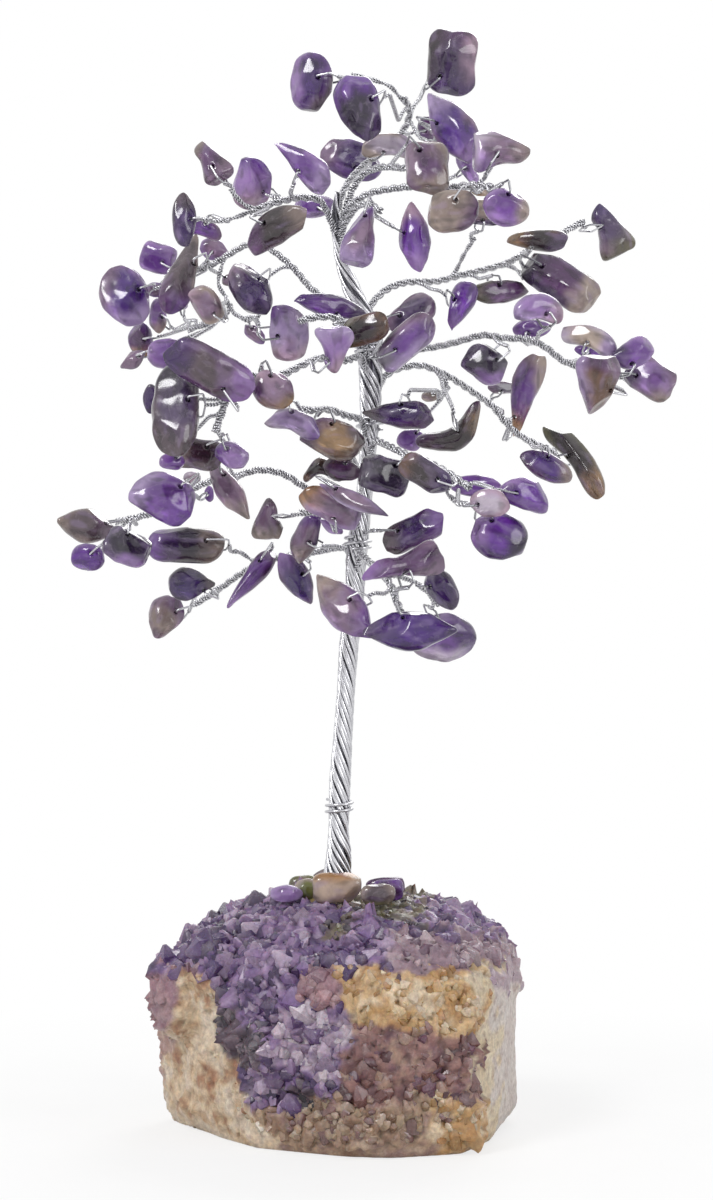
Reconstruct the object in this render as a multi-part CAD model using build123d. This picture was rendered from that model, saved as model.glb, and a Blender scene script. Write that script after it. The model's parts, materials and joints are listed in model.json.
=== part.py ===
from build123d import *
import os
from math import ceil, copysign, cos, pi, radians, sin, tan
from typing import NamedTuple

# A gemstone tree: drilled amethyst chips on twisted silver wire, on an amethyst rock.
# The origin is the middle of the rock's flat underside, +Z is up and -Y is the front.

# Overall sizes, in millimetres
tree_rise = 155.4
crown_half_depth = 38.0
rock_height = 41.0
rock_half_width = 32.5
rock_half_depth = 28.5
view_distance = 500.0

# Pixels of the photograph that tie its picture to those sizes
tree_top_px = 25
tree_foot_px = 899
middle_px = 356.5
level_px = 600
origin_px = 340
mm_per_px = tree_rise / (tree_foot_px - tree_top_px)

# Wire
wire_radius = 0.2
pair_radius = 2 * wire_radius
branch_radius = 0.5
limb_radius = 0.72
trunk_radius = 1.8
wire_gap = 0.12
root_gap = 0.35
pair_spacing = 1.5
wrap_radius = 0.28
wrap_rise = 1.1
wrap_arcs = 8
bend_share = 0.45
lift_share = 0.2
least_run = 1.0
least_turn = 3.0
most_turn = 80.0
wire_readings = 48

# Chips: a chip that is chip_px long in the photograph is chip_length long
chip_length = 10.67
chip_px = 60
hole_radius = 0.45
hole_share = 0.5
front_share = 1.06
back_share = 0.94
edge_share = 0.86
section_points = 8
corner_power = 3
lean_most = 26.0
roll_most = 18.0
golden_turn = 137.5
loop_reach = 0.9
arrival_run = 1.3
arrival_share = 0.4
loop_gap = 0.3
loop_bend = 0.42

# Rock
rough_share = 0.02
crystal_radius = 4.6
crystal_turn = 25.0
crystal_ring_shares = [(-0.5, 1), (0.45, 0.94), (1, 0.22)]

# Foot of the tree
glue_radius = 8.5
glue_height = 1.5
glue_top_share = 0.6
foot_gap = 0.25
overrun = 1.0


def at(x_px, y_px, depth_share=0.0):
    """The point that the photograph shows at a pixel, at a share of the crown's depth."""
    depth = depth_share * crown_half_depth
    scale = mm_per_px * (view_distance + depth) / view_distance
    middle_x = (middle_px - origin_px) * mm_per_px
    level_z = rock_height + (tree_foot_px - level_px) * mm_per_px
    return Vector(middle_x + (x_px - middle_px) * scale, depth, level_z + (level_px - y_px) * scale)


def bend_path(points):
    """Straight runs joined by tangent arcs, each as large as its two runs allow."""
    radii = []
    for before, corner, after in zip(points, points[1:], points[2:]):
        turn = radians((corner - before).get_angle(after - corner))
        shorter = min((corner - before).length, (after - corner).length)
        radii.append(bend_share * shorter / tan(turn / 2))
    return FilletPolyline(*points, radius=radii) if radii else Line(*points)


def tube(path, radius):
    return sweep(Plane(origin=path @ 0, z_dir=path % 0) * Circle(radius), path=path).solid()


# Trunk: a bundle of wires, with its middle and width as the photograph shows them
class TrunkRing(NamedTuple):
    x_px: float
    y_px: float
    width_share: float


trunk_rings = [
    TrunkRing(337, 899, 1.85),
    TrunkRing(337, 884, 1.6),
    TrunkRing(338, 868, 1.35),
    TrunkRing(339, 850, 1.22),
    TrunkRing(338.5, 832, 1.0),
    TrunkRing(340, 780, 1.08),
    TrunkRing(343, 735, 0.95),
    TrunkRing(346, 689, 0.9),
    TrunkRing(349, 643, 0.98),
    TrunkRing(355, 600, 0.9),
    TrunkRing(356, 560, 1.05),
    TrunkRing(358, 540, 1.05),
    TrunkRing(364, 500, 0.82),
    TrunkRing(367, 460, 0.82),
    TrunkRing(370, 420, 1.0),
    TrunkRing(371, 380, 1.18),
    TrunkRing(369, 350, 1.2),
    TrunkRing(366, 320, 1.08),
    TrunkRing(352, 290, 0.95),
    TrunkRing(342, 260, 0.75),
    TrunkRing(338, 235, 0.62),
    TrunkRing(335, 207, 0.55),
    TrunkRing(337, 192, 0.45),
]


def trunk_at(y_px):
    """Middle and radius of the trunk at a height in the photograph."""
    for low, high in zip(trunk_rings, trunk_rings[1:]):
        if y_px >= high.y_px:
            share = (low.y_px - y_px) / (low.y_px - high.y_px)
            x_px = low.x_px + (high.x_px - low.x_px) * share
            width_share = low.width_share + (high.width_share - low.width_share) * share
            return at(x_px, y_px), trunk_radius * width_share
    return at(high.x_px, high.y_px), trunk_radius * high.width_share


def trunk_bundle():
    rings = []
    for ring in trunk_rings:
        middle, radius = trunk_at(ring.y_px)
        rings.append(Plane(origin=middle) * Wire(Edge.make_circle(radius)))
    return Solid.make_loft(rings, ruled=True)


# Places where binding wire is wound round the trunk
class Wrap(NamedTuple):
    y_px: float
    turns: float
    start: float


wraps = [Wrap(352, 2, 200), Wrap(430, 2.5, 320), Wrap(549, 2, 250), Wrap(812, 2, 160)]


def wrap(place):
    """An open winding round the trunk, in tangent arcs of an eighth of a turn."""
    middle, radius = trunk_at(place.y_px)
    high_middle, high_radius = trunk_at(place.y_px - trunk_radius / mm_per_px)
    reach = max(radius, high_radius) + wrap_radius + wire_gap
    lean = (high_middle - middle) / (high_middle - middle).Z
    steps = ceil(place.turns * wrap_arcs)
    points = []
    for step in range(steps + 1):
        angle = radians(place.start) + 2 * pi * step / wrap_arcs
        rise = wrap_rise * step / wrap_arcs
        points.append(middle + lean * rise + Vector(cos(angle), sin(angle)) * reach)
    heading = Vector(-sin(radians(place.start)), cos(radians(place.start)))
    tangent = heading * (2 * pi * reach) + lean * wrap_rise
    arcs = []
    for start, end in zip(points, points[1:]):
        arcs.append(TangentArc(start, end, tangent=tangent).edge())
        tangent = arcs[-1] % 1
    path = Wire(arcs)
    print("winding at", place.y_px, "px: least gap", round(least_gap(path, place.turns), 2), "mm")
    return tube(path, wrap_radius)


def least_gap(path, turns):
    """The least gap between one turn of a winding and the next, measured on points."""
    steps = ceil(turns * wire_readings)
    points = [path @ (step / steps) for step in range(steps + 1)]
    apart = wire_readings // 2
    gaps = [
        (point - other).length
        for index, point in enumerate(points)
        for other in points[index + apart:]
    ]
    return min(gaps) - 2 * wrap_radius


# Wire routes: a limb leaves the trunk, a branch leaves the route that parent names.
# Points are pixels of the photograph and shares of the crown's depth.
class Route(NamedTuple):
    limb: str
    parent: str
    y_px: float
    points: list


routes = {
    "crown_top": Route("crown_top", "trunk", 194, [
        (350, 179, 0.12), (366, 163, 0.24), (386, 148, 0.3), (404, 131, 0.27), (411, 112, 0.17),
        (404, 98, 0.08)]),
    "crown_top_left": Route("crown_top", "crown_top", 0, [
        (391, 86, 0.05), (374, 80, 0.03), (352, 74, -0.02)]),
    "crown_top_right": Route("crown_top", "crown_top", 0, [
        (420, 139, 0.1), (437, 143, -0.08)]),
    "upper_right": Route("upper_right", "trunk", 218, [
        (352, 203, -0.12), (368, 193, -0.18), (388, 189, -0.25), (414, 186, -0.33),
        (440, 190, -0.43), (470, 184, -0.54), (494, 187, -0.66)]),
    "crown_inner": Route("crown_inner", "trunk", 206, [
        (354, 185, 0.0), (365, 171, -0.08), (385, 166, -0.2), (404, 168, -0.32)]),
    "upper_left": Route("upper_left", "trunk", 214, [
        (320, 199, -0.08), (300, 197, -0.16), (282, 201, -0.24), (265, 206, -0.3),
        (250, 212, -0.36)]),
    "upper_left_top": Route("upper_left", "upper_left", 0, [
        (240, 201, -0.36), (230, 190, -0.4)]),
    "upper_left_out": Route("upper_left", "upper_left", 0, [
        (232, 219, -0.34), (214, 222, -0.3)]),
    "heart": Route("heart", "trunk", 228, [
        (357, 205, -0.2), (368, 203, -0.28), (381, 211, -0.36)]),
    "left": Route("left", "trunk", 304, [
        (330, 301, 0.14), (310, 288, 0.2), (297, 271, 0.26), (282, 257, 0.3), (262, 243, 0.34),
        (246, 244, 0.4), (228, 255, 0.46), (210, 266, 0.5), (190, 272, 0.58),
        (166, 277, 0.64)]),
    "left_low": Route("left", "left", 0, [
        (217, 284, 0.5), (228, 300, 0.5), (230, 314, 0.5), (212, 323, 0.52),
        (188, 331, 0.56)]),
    "left_in": Route("left", "left_low", 0, [(244, 318, 0.44), (260, 316, 0.36)]),
    "front_left": Route("front_left", "trunk", 356, [
        (345, 362, -0.24), (322, 357, -0.36), (302, 365, -0.46), (284, 375, -0.54),
        (262, 378, -0.6), (240, 373, -0.66), (230, 386, -0.7), (224, 408, -0.74),
        (215, 432, -0.76)]),
    "lower_left": Route("lower_left", "trunk", 500, [
        (335, 498, -0.08), (308, 490, -0.1), (284, 473, -0.12), (258, 469, -0.14),
        (237, 476, -0.12), (208, 481, -0.08), (180, 495, 0.0), (157, 512, 0.06),
        (135, 518, 0.06), (116, 522, 0.02)]),
    "centre_low": Route("centre_low", "trunk", 512, [
        (345, 516, -0.16), (328, 515, -0.2), (314, 512, -0.2), (300, 513, -0.18)]),
    "bottom_left": Route("bottom_left", "trunk", 548, [
        (338, 547, 0.16), (315, 552, 0.3), (290, 555, 0.42), (262, 561, 0.5),
        (240, 574, 0.58), (215, 592, 0.66), (194, 605, 0.72)]),
    "bottom_left_out": Route("bottom_left", "bottom_left", 0, [
        (242, 553, 0.46), (235, 550, 0.42)]),
    "bottom_front": Route("bottom_front", "trunk", 552, [
        (367, 560, -0.26), (379, 570, -0.42), (391, 584, -0.54), (396, 600, -0.6),
        (401, 611, -0.66)]),
    "bottom_right": Route("bottom_front", "bottom_front", 0, [
        (412, 580, -0.38), (428, 593, -0.32), (438, 606, -0.28)]),
    "lower_right": Route("lower_right", "trunk", 440, [
        (385, 444, -0.2), (403, 453, -0.34), (424, 460, -0.48), (442, 469, -0.56),
        (455, 477, -0.62), (470, 488, -0.7)]),
    "lower_right_low": Route("lower_right", "lower_right", 0, [
        (446, 492, -0.62), (458, 504, -0.7)]),
    "right_mid": Route("right_mid", "trunk", 376, [
        (396, 369, 0.12), (421, 364, 0.18), (447, 375, 0.26), (470, 390, 0.36),
        (494, 407, 0.46), (506, 424, 0.5), (521, 437, 0.54), (540, 446, 0.6),
        (556, 455, 0.64)]),
    "right_mid_low": Route("right_mid", "right_mid", 0, [
        (446, 391, 0.22), (438, 401, 0.2)]),
    "right": Route("right", "trunk", 344, [
        (398, 349, -0.1), (424, 349, -0.15), (450, 344, -0.2), (484, 334, -0.26),
        (503, 338, -0.3), (530, 339, -0.36), (548, 348, -0.4), (562, 361, -0.43),
        (583, 368, -0.47), (610, 371, -0.52)]),
    "right_upper": Route("right_upper", "trunk", 304, [
        (386, 289, 0.14), (405, 282, 0.24), (437, 282, 0.38), (458, 276, 0.46),
        (485, 270, 0.54), (512, 262, 0.62), (533, 247, 0.68), (561, 234, 0.74),
        (584, 221, 0.78)]),
    "right_upper_out": Route("right_upper", "right_upper", 0, [
        (519, 271, 0.54), (524, 279, 0.46)]),
    "right_upper_in": Route("right_upper", "right_upper", 0, [
        (459, 264, 0.38), (466, 250, 0.3), (475, 238, 0.22)]),
    "centre_left": Route("centre_left", "trunk", 420, [
        (346, 416, -0.2), (330, 409, -0.3), (314, 411, -0.37), (301, 409, -0.44)]),
    "centre_front": Route("centre_front", "trunk", 340, [
        (351, 327, -0.28), (335, 317, -0.38), (317, 317, -0.43), (299, 321, -0.47)]),
}


# Outlines of the chips: half sections along the long axis, from its start to its end.
# Each holds the place along, the upper and lower edge, and the thickness, as shares.
outline_shares = {
    "barrel": [(-1, 0.34, -0.36, 0.4), (-0.74, 0.8, -0.78, 0.8), (-0.1, 1, -1, 1),
               (0.6, 0.88, -0.9, 0.92), (1, 0.38, -0.32, 0.4)],
    "block": [(-1, 0.62, -0.7, 0.6), (-0.8, 0.94, -0.98, 0.92), (0, 0.98, -1, 1),
              (0.76, 1, -0.9, 0.94), (1, 0.7, -0.62, 0.6)],
    "disk": [(-1, 0.36, -0.36, 0.4), (-0.7, 0.78, -0.78, 0.8), (0, 1, -1, 1),
             (0.7, 0.8, -0.76, 0.85), (1, 0.38, -0.32, 0.4)],
    "oval": [(-1, 0.24, -0.24, 0.35), (-0.66, 0.76, -0.74, 0.8), (0, 1, -1, 1),
             (0.66, 0.76, -0.72, 0.8), (1, 0.24, -0.24, 0.35)],
    "leaf": [(-1, 0.12, -0.1, 0.22), (-0.5, 0.7, -0.68, 0.8), (0.05, 1, -1, 1),
             (0.55, 0.68, -0.64, 0.8), (1, 0.1, -0.1, 0.22)],
    "half_moon": [(-1, -0.4, -0.75, 0.3), (-0.6, 0.55, -0.95, 0.85), (0, 1, -1, 1),
                  (0.6, 0.6, -0.95, 0.85), (1, -0.35, -0.75, 0.3)],
    "fang": [(-1, 0.5, -0.5, 0.5), (-0.65, 0.96, -0.9, 0.95), (0, 0.92, -1, 1),
             (0.55, 0.42, -0.95, 0.75), (1, -0.3, -0.75, 0.25)],
    "shard": [(-1, 0.1, -0.12, 0.22), (-0.4, 0.6, -0.42, 0.7), (0.2, 0.96, -0.8, 1),
              (0.7, 0.85, -1, 0.9), (1, 0.3, -0.72, 0.42)],
    "kite": [(-1, 0.14, -0.12, 0.25), (-0.3, 0.95, -0.7, 0.9), (0.3, 0.8, -1, 1),
             (1, 0.14, -0.26, 0.3)],
    "drop": [(-1, 0.34, -0.32, 0.4), (-0.64, 0.88, -0.86, 0.9), (-0.15, 1, -1, 1),
             (0.45, 0.62, -0.64, 0.76), (1, 0.12, -0.12, 0.22)],
    "bean": [(-1, 0, -0.66, 0.4), (-0.62, 0.74, -1, 0.9), (0, 1, -0.7, 1),
             (0.62, 0.76, -1, 0.9), (1, 0, -0.66, 0.4)],
    "horn": [(-1, -0.55, -0.95, 0.25), (-0.4, 0.25, -0.95, 0.7), (0.2, 0.8, -0.8, 1),
             (0.7, 1, -0.5, 1), (1, 0.75, -0.05, 0.5)],
    "spear": [(-1, 0.34, -0.4, 0.4), (-0.62, 0.95, -1, 1), (-0.1, 0.9, -0.86, 1),
              (0.5, 0.5, -0.46, 0.7), (1, 0.1, -0.08, 0.22)],
    "triangle": [(-1, 0.12, -0.12, 0.25), (-0.2, 0.52, -0.55, 0.8), (0.5, 0.85, -0.95, 1),
                 (0.86, 1, -1, 0.92), (1, 0.78, -0.8, 0.6)],
    "plate": [(-1, 0.3, -0.6, 0.4), (-0.7, 0.85, -1, 0.9), (0, 1, -0.95, 1),
              (0.7, 1, -0.8, 0.9), (1, 0.55, -0.2, 0.4)],
    "crescent": [(-1, -0.5, -0.9, 0.3), (-0.55, 0.45, -0.85, 0.85), (0, 1, -0.4, 1),
                 (0.55, 0.5, -0.8, 0.85), (1, -0.46, -0.9, 0.3)],
    "lemon": [(-1, 0.12, -0.12, 0.25), (-0.7, 0.48, -0.5, 0.7), (0, 1, -1, 1),
              (0.7, 0.5, -0.44, 0.7), (1, 0.12, -0.12, 0.25)],
    "wedge": [(-1, 0.8, -0.75, 0.6), (-0.76, 1, -1, 0.95), (0, 0.8, -0.75, 1),
              (0.6, 0.5, -0.42, 0.8), (1, 0.2, -0.2, 0.35)],
}


# A chip's place, size and long axis, read by eye from the photograph.
# clock is the long axis in degrees, clockwise from the right.
class Chip(NamedTuple):
    wire: str
    x_px: float
    y_px: float
    depth_share: float
    long_px: float
    wide_px: float
    clock: float
    outline: str
    side: int = 1
    thick_share: float = 0.74


chips = [
    Chip("crown_top_left", 312, 82, -0.06, 58, 43, 95, "barrel"),
    Chip("crown_top", 358, 111, -0.3, 70, 45, 85, "fang", -1, 0.6),
    Chip("crown_top", 452, 62, 0.3, 58, 50, 95, "block"),
    Chip("crown_top_right", 455, 130, -0.32, 92, 42, 57, "leaf", -1, 0.7),
    Chip("crown_top", 428, 130, 0.56, 28, 24, 90, "disk"),
    Chip("crown_inner", 390, 146, 0.04, 58, 26, 0, "bean"),
    Chip("crown_inner", 427, 168, -0.57, 46, 42, 90, "block"),
    Chip("crown_top", 352, 160, 0.58, 66, 44, 10, "disk", 1, 0.6),
    Chip("upper_right", 502, 151, -0.62, 55, 44, 180, "triangle"),
    Chip("upper_right", 468, 168, -0.12, 44, 18, 65, "oval"),
    Chip("upper_right", 482, 190, -0.34, 22, 13, 0, "disk"),
    Chip("upper_right", 451, 211, -0.76, 50, 42, 0, "disk", 1, 0.5),
    Chip("upper_right", 506, 208, -0.86, 44, 36, 15, "oval"),
    Chip("upper_left", 302, 163, -0.34, 70, 32, 39, "shard", 1, 0.8),
    Chip("upper_left", 314, 206, 0.14, 42, 25, 0, "oval"),
    Chip("upper_left", 252, 183, -0.14, 48, 45, 70, "kite"),
    Chip("upper_left_top", 210, 160, -0.46, 46, 32, 60, "triangle", -1),
    Chip("upper_left_out", 184, 220, -0.44, 56, 24, 90, "oval"),
    Chip("upper_left_out", 200, 228, -0.1, 44, 20, 10, "bean"),
    Chip("upper_left", 276, 226, -0.56, 72, 34, -28, "half_moon", 1, 0.6),
    Chip("heart", 362, 235, -0.52, 60, 34, 285, "wedge"),
    Chip("heart", 415, 239, -0.56, 72, 31, 85, "lemon", 1, 0.9),
    Chip("left", 250, 290, 0.2, 62, 42, 65, "oval"),
    Chip("left_in", 288, 332, 0.2, 56, 50, 60, "kite", 1, 0.6),
    Chip("left_in", 255, 334, 0.5, 30, 16, 40, "oval"),
    Chip("left", 214, 250, 0.66, 30, 24, 20, "disk"),
    Chip("left_low", 206, 304, 0.2, 42, 36, 30, "kite"),
    Chip("left", 230, 280, 0.68, 20, 14, 0, "oval"),
    Chip("left", 183, 273, 0.4, 90, 34, -73, "spear", -1, 0.8),
    Chip("left", 158, 258, 0.86, 36, 33, 20, "block"),
    Chip("left", 125, 297, 0.62, 66, 54, 70, "oval", 1, 0.6),
    Chip("left", 157, 290, 0.78, 24, 16, 0, "disk"),
    Chip("left_low", 158, 316, 0.8, 42, 20, 90, "oval"),
    Chip("left_low", 181, 305, 0.74, 14, 12, 0, "disk"),
    Chip("left_low", 141, 340, 0.88, 40, 28, 80, "oval"),
    Chip("left_low", 133, 360, 0.62, 34, 20, -30, "leaf"),
    Chip("left_low", 168, 354, 0.32, 40, 33, 0, "disk"),
    Chip("front_left", 335, 350, -0.62, 42, 40, 270, "triangle", 1, 0.6),
    Chip("front_left", 273, 390, -0.72, 42, 37, 40, "oval"),
    Chip("front_left", 210, 370, -0.88, 88, 42, 32, "plate", 1, 0.6),
    Chip("front_left", 176, 410, -0.78, 88, 45, 90, "barrel", 1, 0.8),
    Chip("front_left", 151, 400, -0.54, 30, 16, 90, "oval"),
    Chip("front_left", 231, 455, -0.64, 34, 29, 0, "kite"),
    Chip("front_left", 198, 454, -0.5, 46, 31, 10, "block", 1, 0.6),
    Chip("front_left", 172, 462, -0.6, 24, 18, 0, "disk"),
    Chip("lower_left", 229, 491, -0.36, 72, 26, 55, "leaf"),
    Chip("lower_left", 164, 498, -0.3, 70, 58, 0, "kite", 1, 0.5),
    Chip("lower_left", 192, 478, 0.2, 18, 13, 0, "disk"),
    Chip("lower_left", 209, 494, 0.18, 18, 11, 90, "disk"),
    Chip("lower_left", 87, 526, -0.12, 58, 36, 10, "lemon"),
    Chip("lower_left", 88, 557, 0.18, 34, 29, 0, "disk"),
    Chip("lower_left", 127, 547, -0.24, 45, 35, 20, "block"),
    Chip("centre_low", 332, 508, -0.44, 66, 30, 30, "plate", 1, 0.6),
    Chip("trunk", 353, 500, -0.62, 76, 17, 25, "leaf", 1, 1.1),
    Chip("centre_low", 332, 527, -0.1, 30, 13, 30, "leaf", 1, 0.9),
    Chip("centre_low", 269, 518, -0.2, 42, 36, 90, "triangle"),
    Chip("bottom_left", 306, 538, 0.02, 56, 27, -65, "oval"),
    Chip("bottom_left", 295, 576, 0.26, 66, 31, 60, "leaf"),
    Chip("bottom_left", 250, 580, 0.3, 76, 22, 130, "spear", 1, 1.0),
    Chip("bottom_left_out", 186, 546, 0.32, 78, 38, 6, "plate"),
    Chip("bottom_left", 192, 584, 0.5, 48, 36, 0, "drop"),
    Chip("bottom_left", 164, 619, 0.84, 48, 38, 110, "drop"),
    Chip("bottom_front", 401, 565, -0.74, 80, 34, -14, "triangle", 1, 0.7),
    Chip("bottom_right", 441, 587, -0.5, 50, 29, 57, "oval"),
    Chip("bottom_front", 408, 630, -0.82, 92, 40, 0, "leaf", -1),
    Chip("bottom_right", 441, 637, -0.18, 66, 50, 10, "disk", 1, 0.5),
    Chip("bottom_front", 344, 608, -0.6, 82, 40, 50, "leaf"),
    Chip("lower_right", 384, 476, -0.42, 46, 38, 15, "block"),
    Chip("lower_right", 425, 474, -0.72, 52, 28, 35, "plate"),
    Chip("lower_right", 476, 486, -0.42, 52, 22, 3, "oval"),
    Chip("lower_right", 525, 492, -0.86, 50, 32, 20, "half_moon"),
    Chip("lower_right_low", 490, 503, -1.0, 36, 27, 10, "oval"),
    Chip("lower_right_low", 499, 536, -0.8, 52, 47, 20, "disk", 1, 0.7),
    Chip("right_mid_low", 401, 415, -0.22, 78, 28, 183, "drop", -1, 0.9),
    Chip("right_mid_low", 430, 396, 0.42, 18, 14, 0, "disk"),
    Chip("right_mid_low", 411, 440, 0.3, 28, 23, 0, "disk"),
    Chip("right_mid", 455, 433, 0.02, 78, 33, -32, "crescent", -1, 0.8),
    Chip("right_mid", 525, 396, 0.6, 90, 33, -78, "shard", 1, 0.9),
    Chip("right_mid", 503, 388, 0.82, 34, 15, 0, "oval"),
    Chip("right_mid", 577, 458, 0.8, 98, 28, 55, "bean", 1, 1.0),
    Chip("right_mid", 546, 467, 0.36, 58, 29, 25, "oval"),
    Chip("right", 484, 364, -0.42, 46, 42, 0, "kite"),
    Chip("right", 531, 329, -0.18, 38, 21, 0, "oval"),
    Chip("right", 538, 308, -0.56, 46, 29, 0, "bean"),
    Chip("right", 590, 338, -0.6, 56, 25, 22, "bean"),
    Chip("right", 591, 352, -0.26, 34, 14, 10, "oval"),
    Chip("right", 633, 353, -0.68, 42, 31, -10, "kite", -1),
    Chip("right", 652, 379, -0.48, 46, 36, 40, "block", 1, 0.6),
    Chip("right", 596, 386, -0.9, 54, 43, 95, "wedge", 1, 0.7),
    Chip("right_upper", 537, 238, 0.48, 60, 30, 18, "horn", 1, 0.9),
    Chip("right_upper_out", 560, 281, 0.3, 80, 43, 38, "block", 1, 0.6),
    Chip("right_upper", 498, 292, 0.34, 64, 25, -8, "oval"),
    Chip("right_upper", 459, 308, 0.12, 58, 27, 115, "spear", 1, 0.9),
    Chip("right_upper", 608, 229, 0.84, 60, 44, 65, "triangle", -1, 0.6),
    Chip("right_upper_in", 482, 213, 0.1, 44, 27, 0, "half_moon"),
    Chip("centre_left", 293, 422, -0.56, 56, 25, 20, "bean"),
    Chip("centre_left", 332, 439, -0.45, 60, 44, 0, "kite"),
    Chip("trunk", 321, 469, -0.24, 36, 24, 0, "crescent", 1, 0.9),
    Chip("trunk", 342, 470, -0.34, 38, 25, 18, "oval", 1, 0.5),
    Chip("centre_front", 330, 306, -0.22, 80, 24, 10, "leaf", 1, 0.9),
    Chip("centre_front", 364, 330, -0.46, 48, 30, -10, "plate", 1, 0.7),
    Chip("trunk", 412, 316, 0.14, 54, 34, -40, "plate", 1, 0.7),
    Chip("trunk", 407, 342, -0.4, 68, 34, -40, "plate", 1, 0.7),
    Chip("trunk", 416, 531, -0.34, 66, 31, -22, "plate", 1, 0.8),
]


class Body(NamedTuple):
    """A chip's middle, its long, wide and thick directions, and half its sizes."""
    middle: Vector
    along: Vector
    across: Vector
    through: Vector
    half_long: float
    half_wide: float
    half_thick: float


def chip_body(chip, middle, lean, roll):
    """The chip's frame: turned as seen from the front, leant back and rolled."""
    turn = radians(-chip.clock)
    seen_along = Vector(cos(turn), 0, sin(turn))
    seen_across = Vector(-sin(turn), 0, cos(turn))
    front = Vector(0, -1, 0)
    along = seen_along * cos(lean) + front * sin(lean)
    through = front * cos(lean) - seen_along * sin(lean)
    across = seen_across * cos(roll) + through * sin(roll)
    through = through * cos(roll) - seen_across * sin(roll)
    half_wide = chip_length * chip.wide_px / chip_px / 2
    half_long = chip_length * chip.long_px / chip_px / 2 / cos(lean)
    half_thick = half_wide * chip.thick_share
    return Body(middle, along, across * chip.side, through, half_long, half_wide, half_thick)


def chip_solid(chip, body):
    """A tumbled chip: a smooth skin over rounded sections along its outline."""
    sections = []
    for place, upper, lower, thick in outline_shares[chip.outline]:
        middle = body.middle + body.along * (place * body.half_long)
        middle += body.across * (body.half_wide * (upper + lower) / 2)
        half_wide = body.half_wide * (upper - lower) / 2
        points = []
        for step in range(section_points):
            angle = 2 * pi * step / section_points
            across = copysign(abs(cos(angle)) ** edge_share, cos(angle)) * half_wide
            through = copysign(abs(sin(angle)) ** edge_share, sin(angle)) * body.half_thick * thick
            through *= front_share if through > 0 else back_share
            points.append(middle + body.across * across + body.through * through)
        sections.append(Wire(Spline(*points, periodic=True).edge()))
    return Solid.make_loft(sections)


def drill(solid, body, hole):
    """The hole through the chip's thickness that its wire passes."""
    length = 2 * (body.half_thick + overrun)
    cutter = Solid.make_cylinder(hole_radius, length, Plane(
        origin=hole - body.through * (length / 2), z_dir=body.through))
    return (solid - cutter).solid()


def chip_loop(chip, body, source):
    """Where the chip is drilled, and the corners of its wire's loop towards its source."""
    outward = source - body.middle
    outward = (outward - body.through * outward.dot(body.through)).normalized()
    long_part = abs(outward.dot(body.along)) / body.half_long
    wide_part = abs(outward.dot(body.across)) / body.half_wide
    reach = (long_part ** corner_power + wide_part ** corner_power) ** (-1 / corner_power)
    centre = edge_middle(chip, hole_share * outward.dot(body.along) * reach / body.half_long)
    hole = body.middle + outward * (hole_share * reach) + body.across * (centre * body.half_wide)
    rim = reach * (1 - hole_share)
    stem = hole + outward * (rim + loop_reach)
    edge = hole + outward * (rim + loop_gap + wire_radius)
    rise = body.through * (body.half_thick * front_share + loop_gap + wire_radius)
    apart = body.through * (wire_radius + wire_gap / 4)
    inset = outward * wire_radius
    corners = [
        stem + apart + inset, stem + apart - inset, edge + rise, hole + rise,
        hole - rise, edge - rise, stem - apart - inset, stem - apart + inset,
    ]
    return hole, stem, outward, corners


def edge_middle(chip, place):
    """Middle between the chip's two edges at a place along it, as a share of its half width."""
    stations = outline_shares[chip.outline]
    for low, high in zip(stations, stations[1:]):
        if place <= high[0]:
            share = (place - low[0]) / (high[0] - low[0])
            return (low[1] + low[2] + (high[1] + high[2] - low[1] - low[2]) * share) / 2
    return (high[1] + high[2]) / 2


class PathWire(NamedTuple):
    """A wire's path with points read along it, and its radius."""
    path: object
    shares: list
    points: list
    radius: float


def wire_of(points, radius):
    path = bend_path(points)
    shares = [step / wire_readings for step in range(wire_readings + 1)]
    return PathWire(path, shares, [path @ share for share in shares], radius)


def trunk_start(y_px, target, radius):
    """A wire's start beside the trunk, on the side of its target."""
    middle, trunk_width = trunk_at(y_px)
    side = target - middle
    side = Vector(side.X, side.Y, 0).normalized()
    return middle + side * (trunk_width + radius + root_gap), side


def leave_points(parent, targets, radius):
    """Starts beside a parent wire, spaced along it, each on the side of its target."""
    length = parent.path.length
    stations = []
    for target in targets:
        gaps = [(point - target).length for point in parent.points]
        stations.append(parent.shares[gaps.index(min(gaps))] * length)
    order = sorted(range(len(targets)), key=lambda index: -stations[index])
    limit = length
    starts = [None] * len(targets)
    for index in order:
        station = max(min(stations[index], limit), 0.0)
        limit = station - pair_spacing
        share = station / length
        point = parent.path @ share
        tangent = parent.path % share
        side = targets[index] - point
        side = (side - tangent * side.dot(tangent)).normalized()
        starts[index] = point + side * (parent.radius + radius + wire_gap), side
    return starts


def eased(points):
    """The route without the points that would bend the wire too tightly or not at all."""
    kept = [points[0]]
    for place, following in zip(points[1:], points[2:]):
        turn = (place - kept[-1]).get_angle(following - place)
        shorter = min((place - kept[-1]).length, (following - place).length)
        if shorter > least_run and least_turn < turn < most_turn:
            kept.append(place)
    return kept + [points[-1]]


def twig(chip, body, start, side):
    """A twisted pair from its start to the chip, with its loop through the chip's hole."""
    hole, stem, outward, corners = chip_loop(chip, body, start)
    lift = start + side * ((stem - start).length * lift_share)
    arrival = stem + outward * min(arrival_run, arrival_share * (stem - start).length)
    pair = tube(bend_path(eased([start, lift, arrival, stem])), pair_radius)
    loop = tube(FilletPolyline(*corners, radius=loop_bend_radii(corners)), wire_radius)
    return hole, (pair + loop).solid()


def loop_bend_radii(corners):
    """Each bend of a loop, limited by the runs beside it."""
    radii = []
    for before, corner, after in zip(corners, corners[1:], corners[2:]):
        turn = radians((corner - before).get_angle(after - corner))
        shorter = min((corner - before).length, (after - corner).length)
        radii.append(min(loop_bend, bend_share * shorter / tan(turn / 2)))
    return radii


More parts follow.
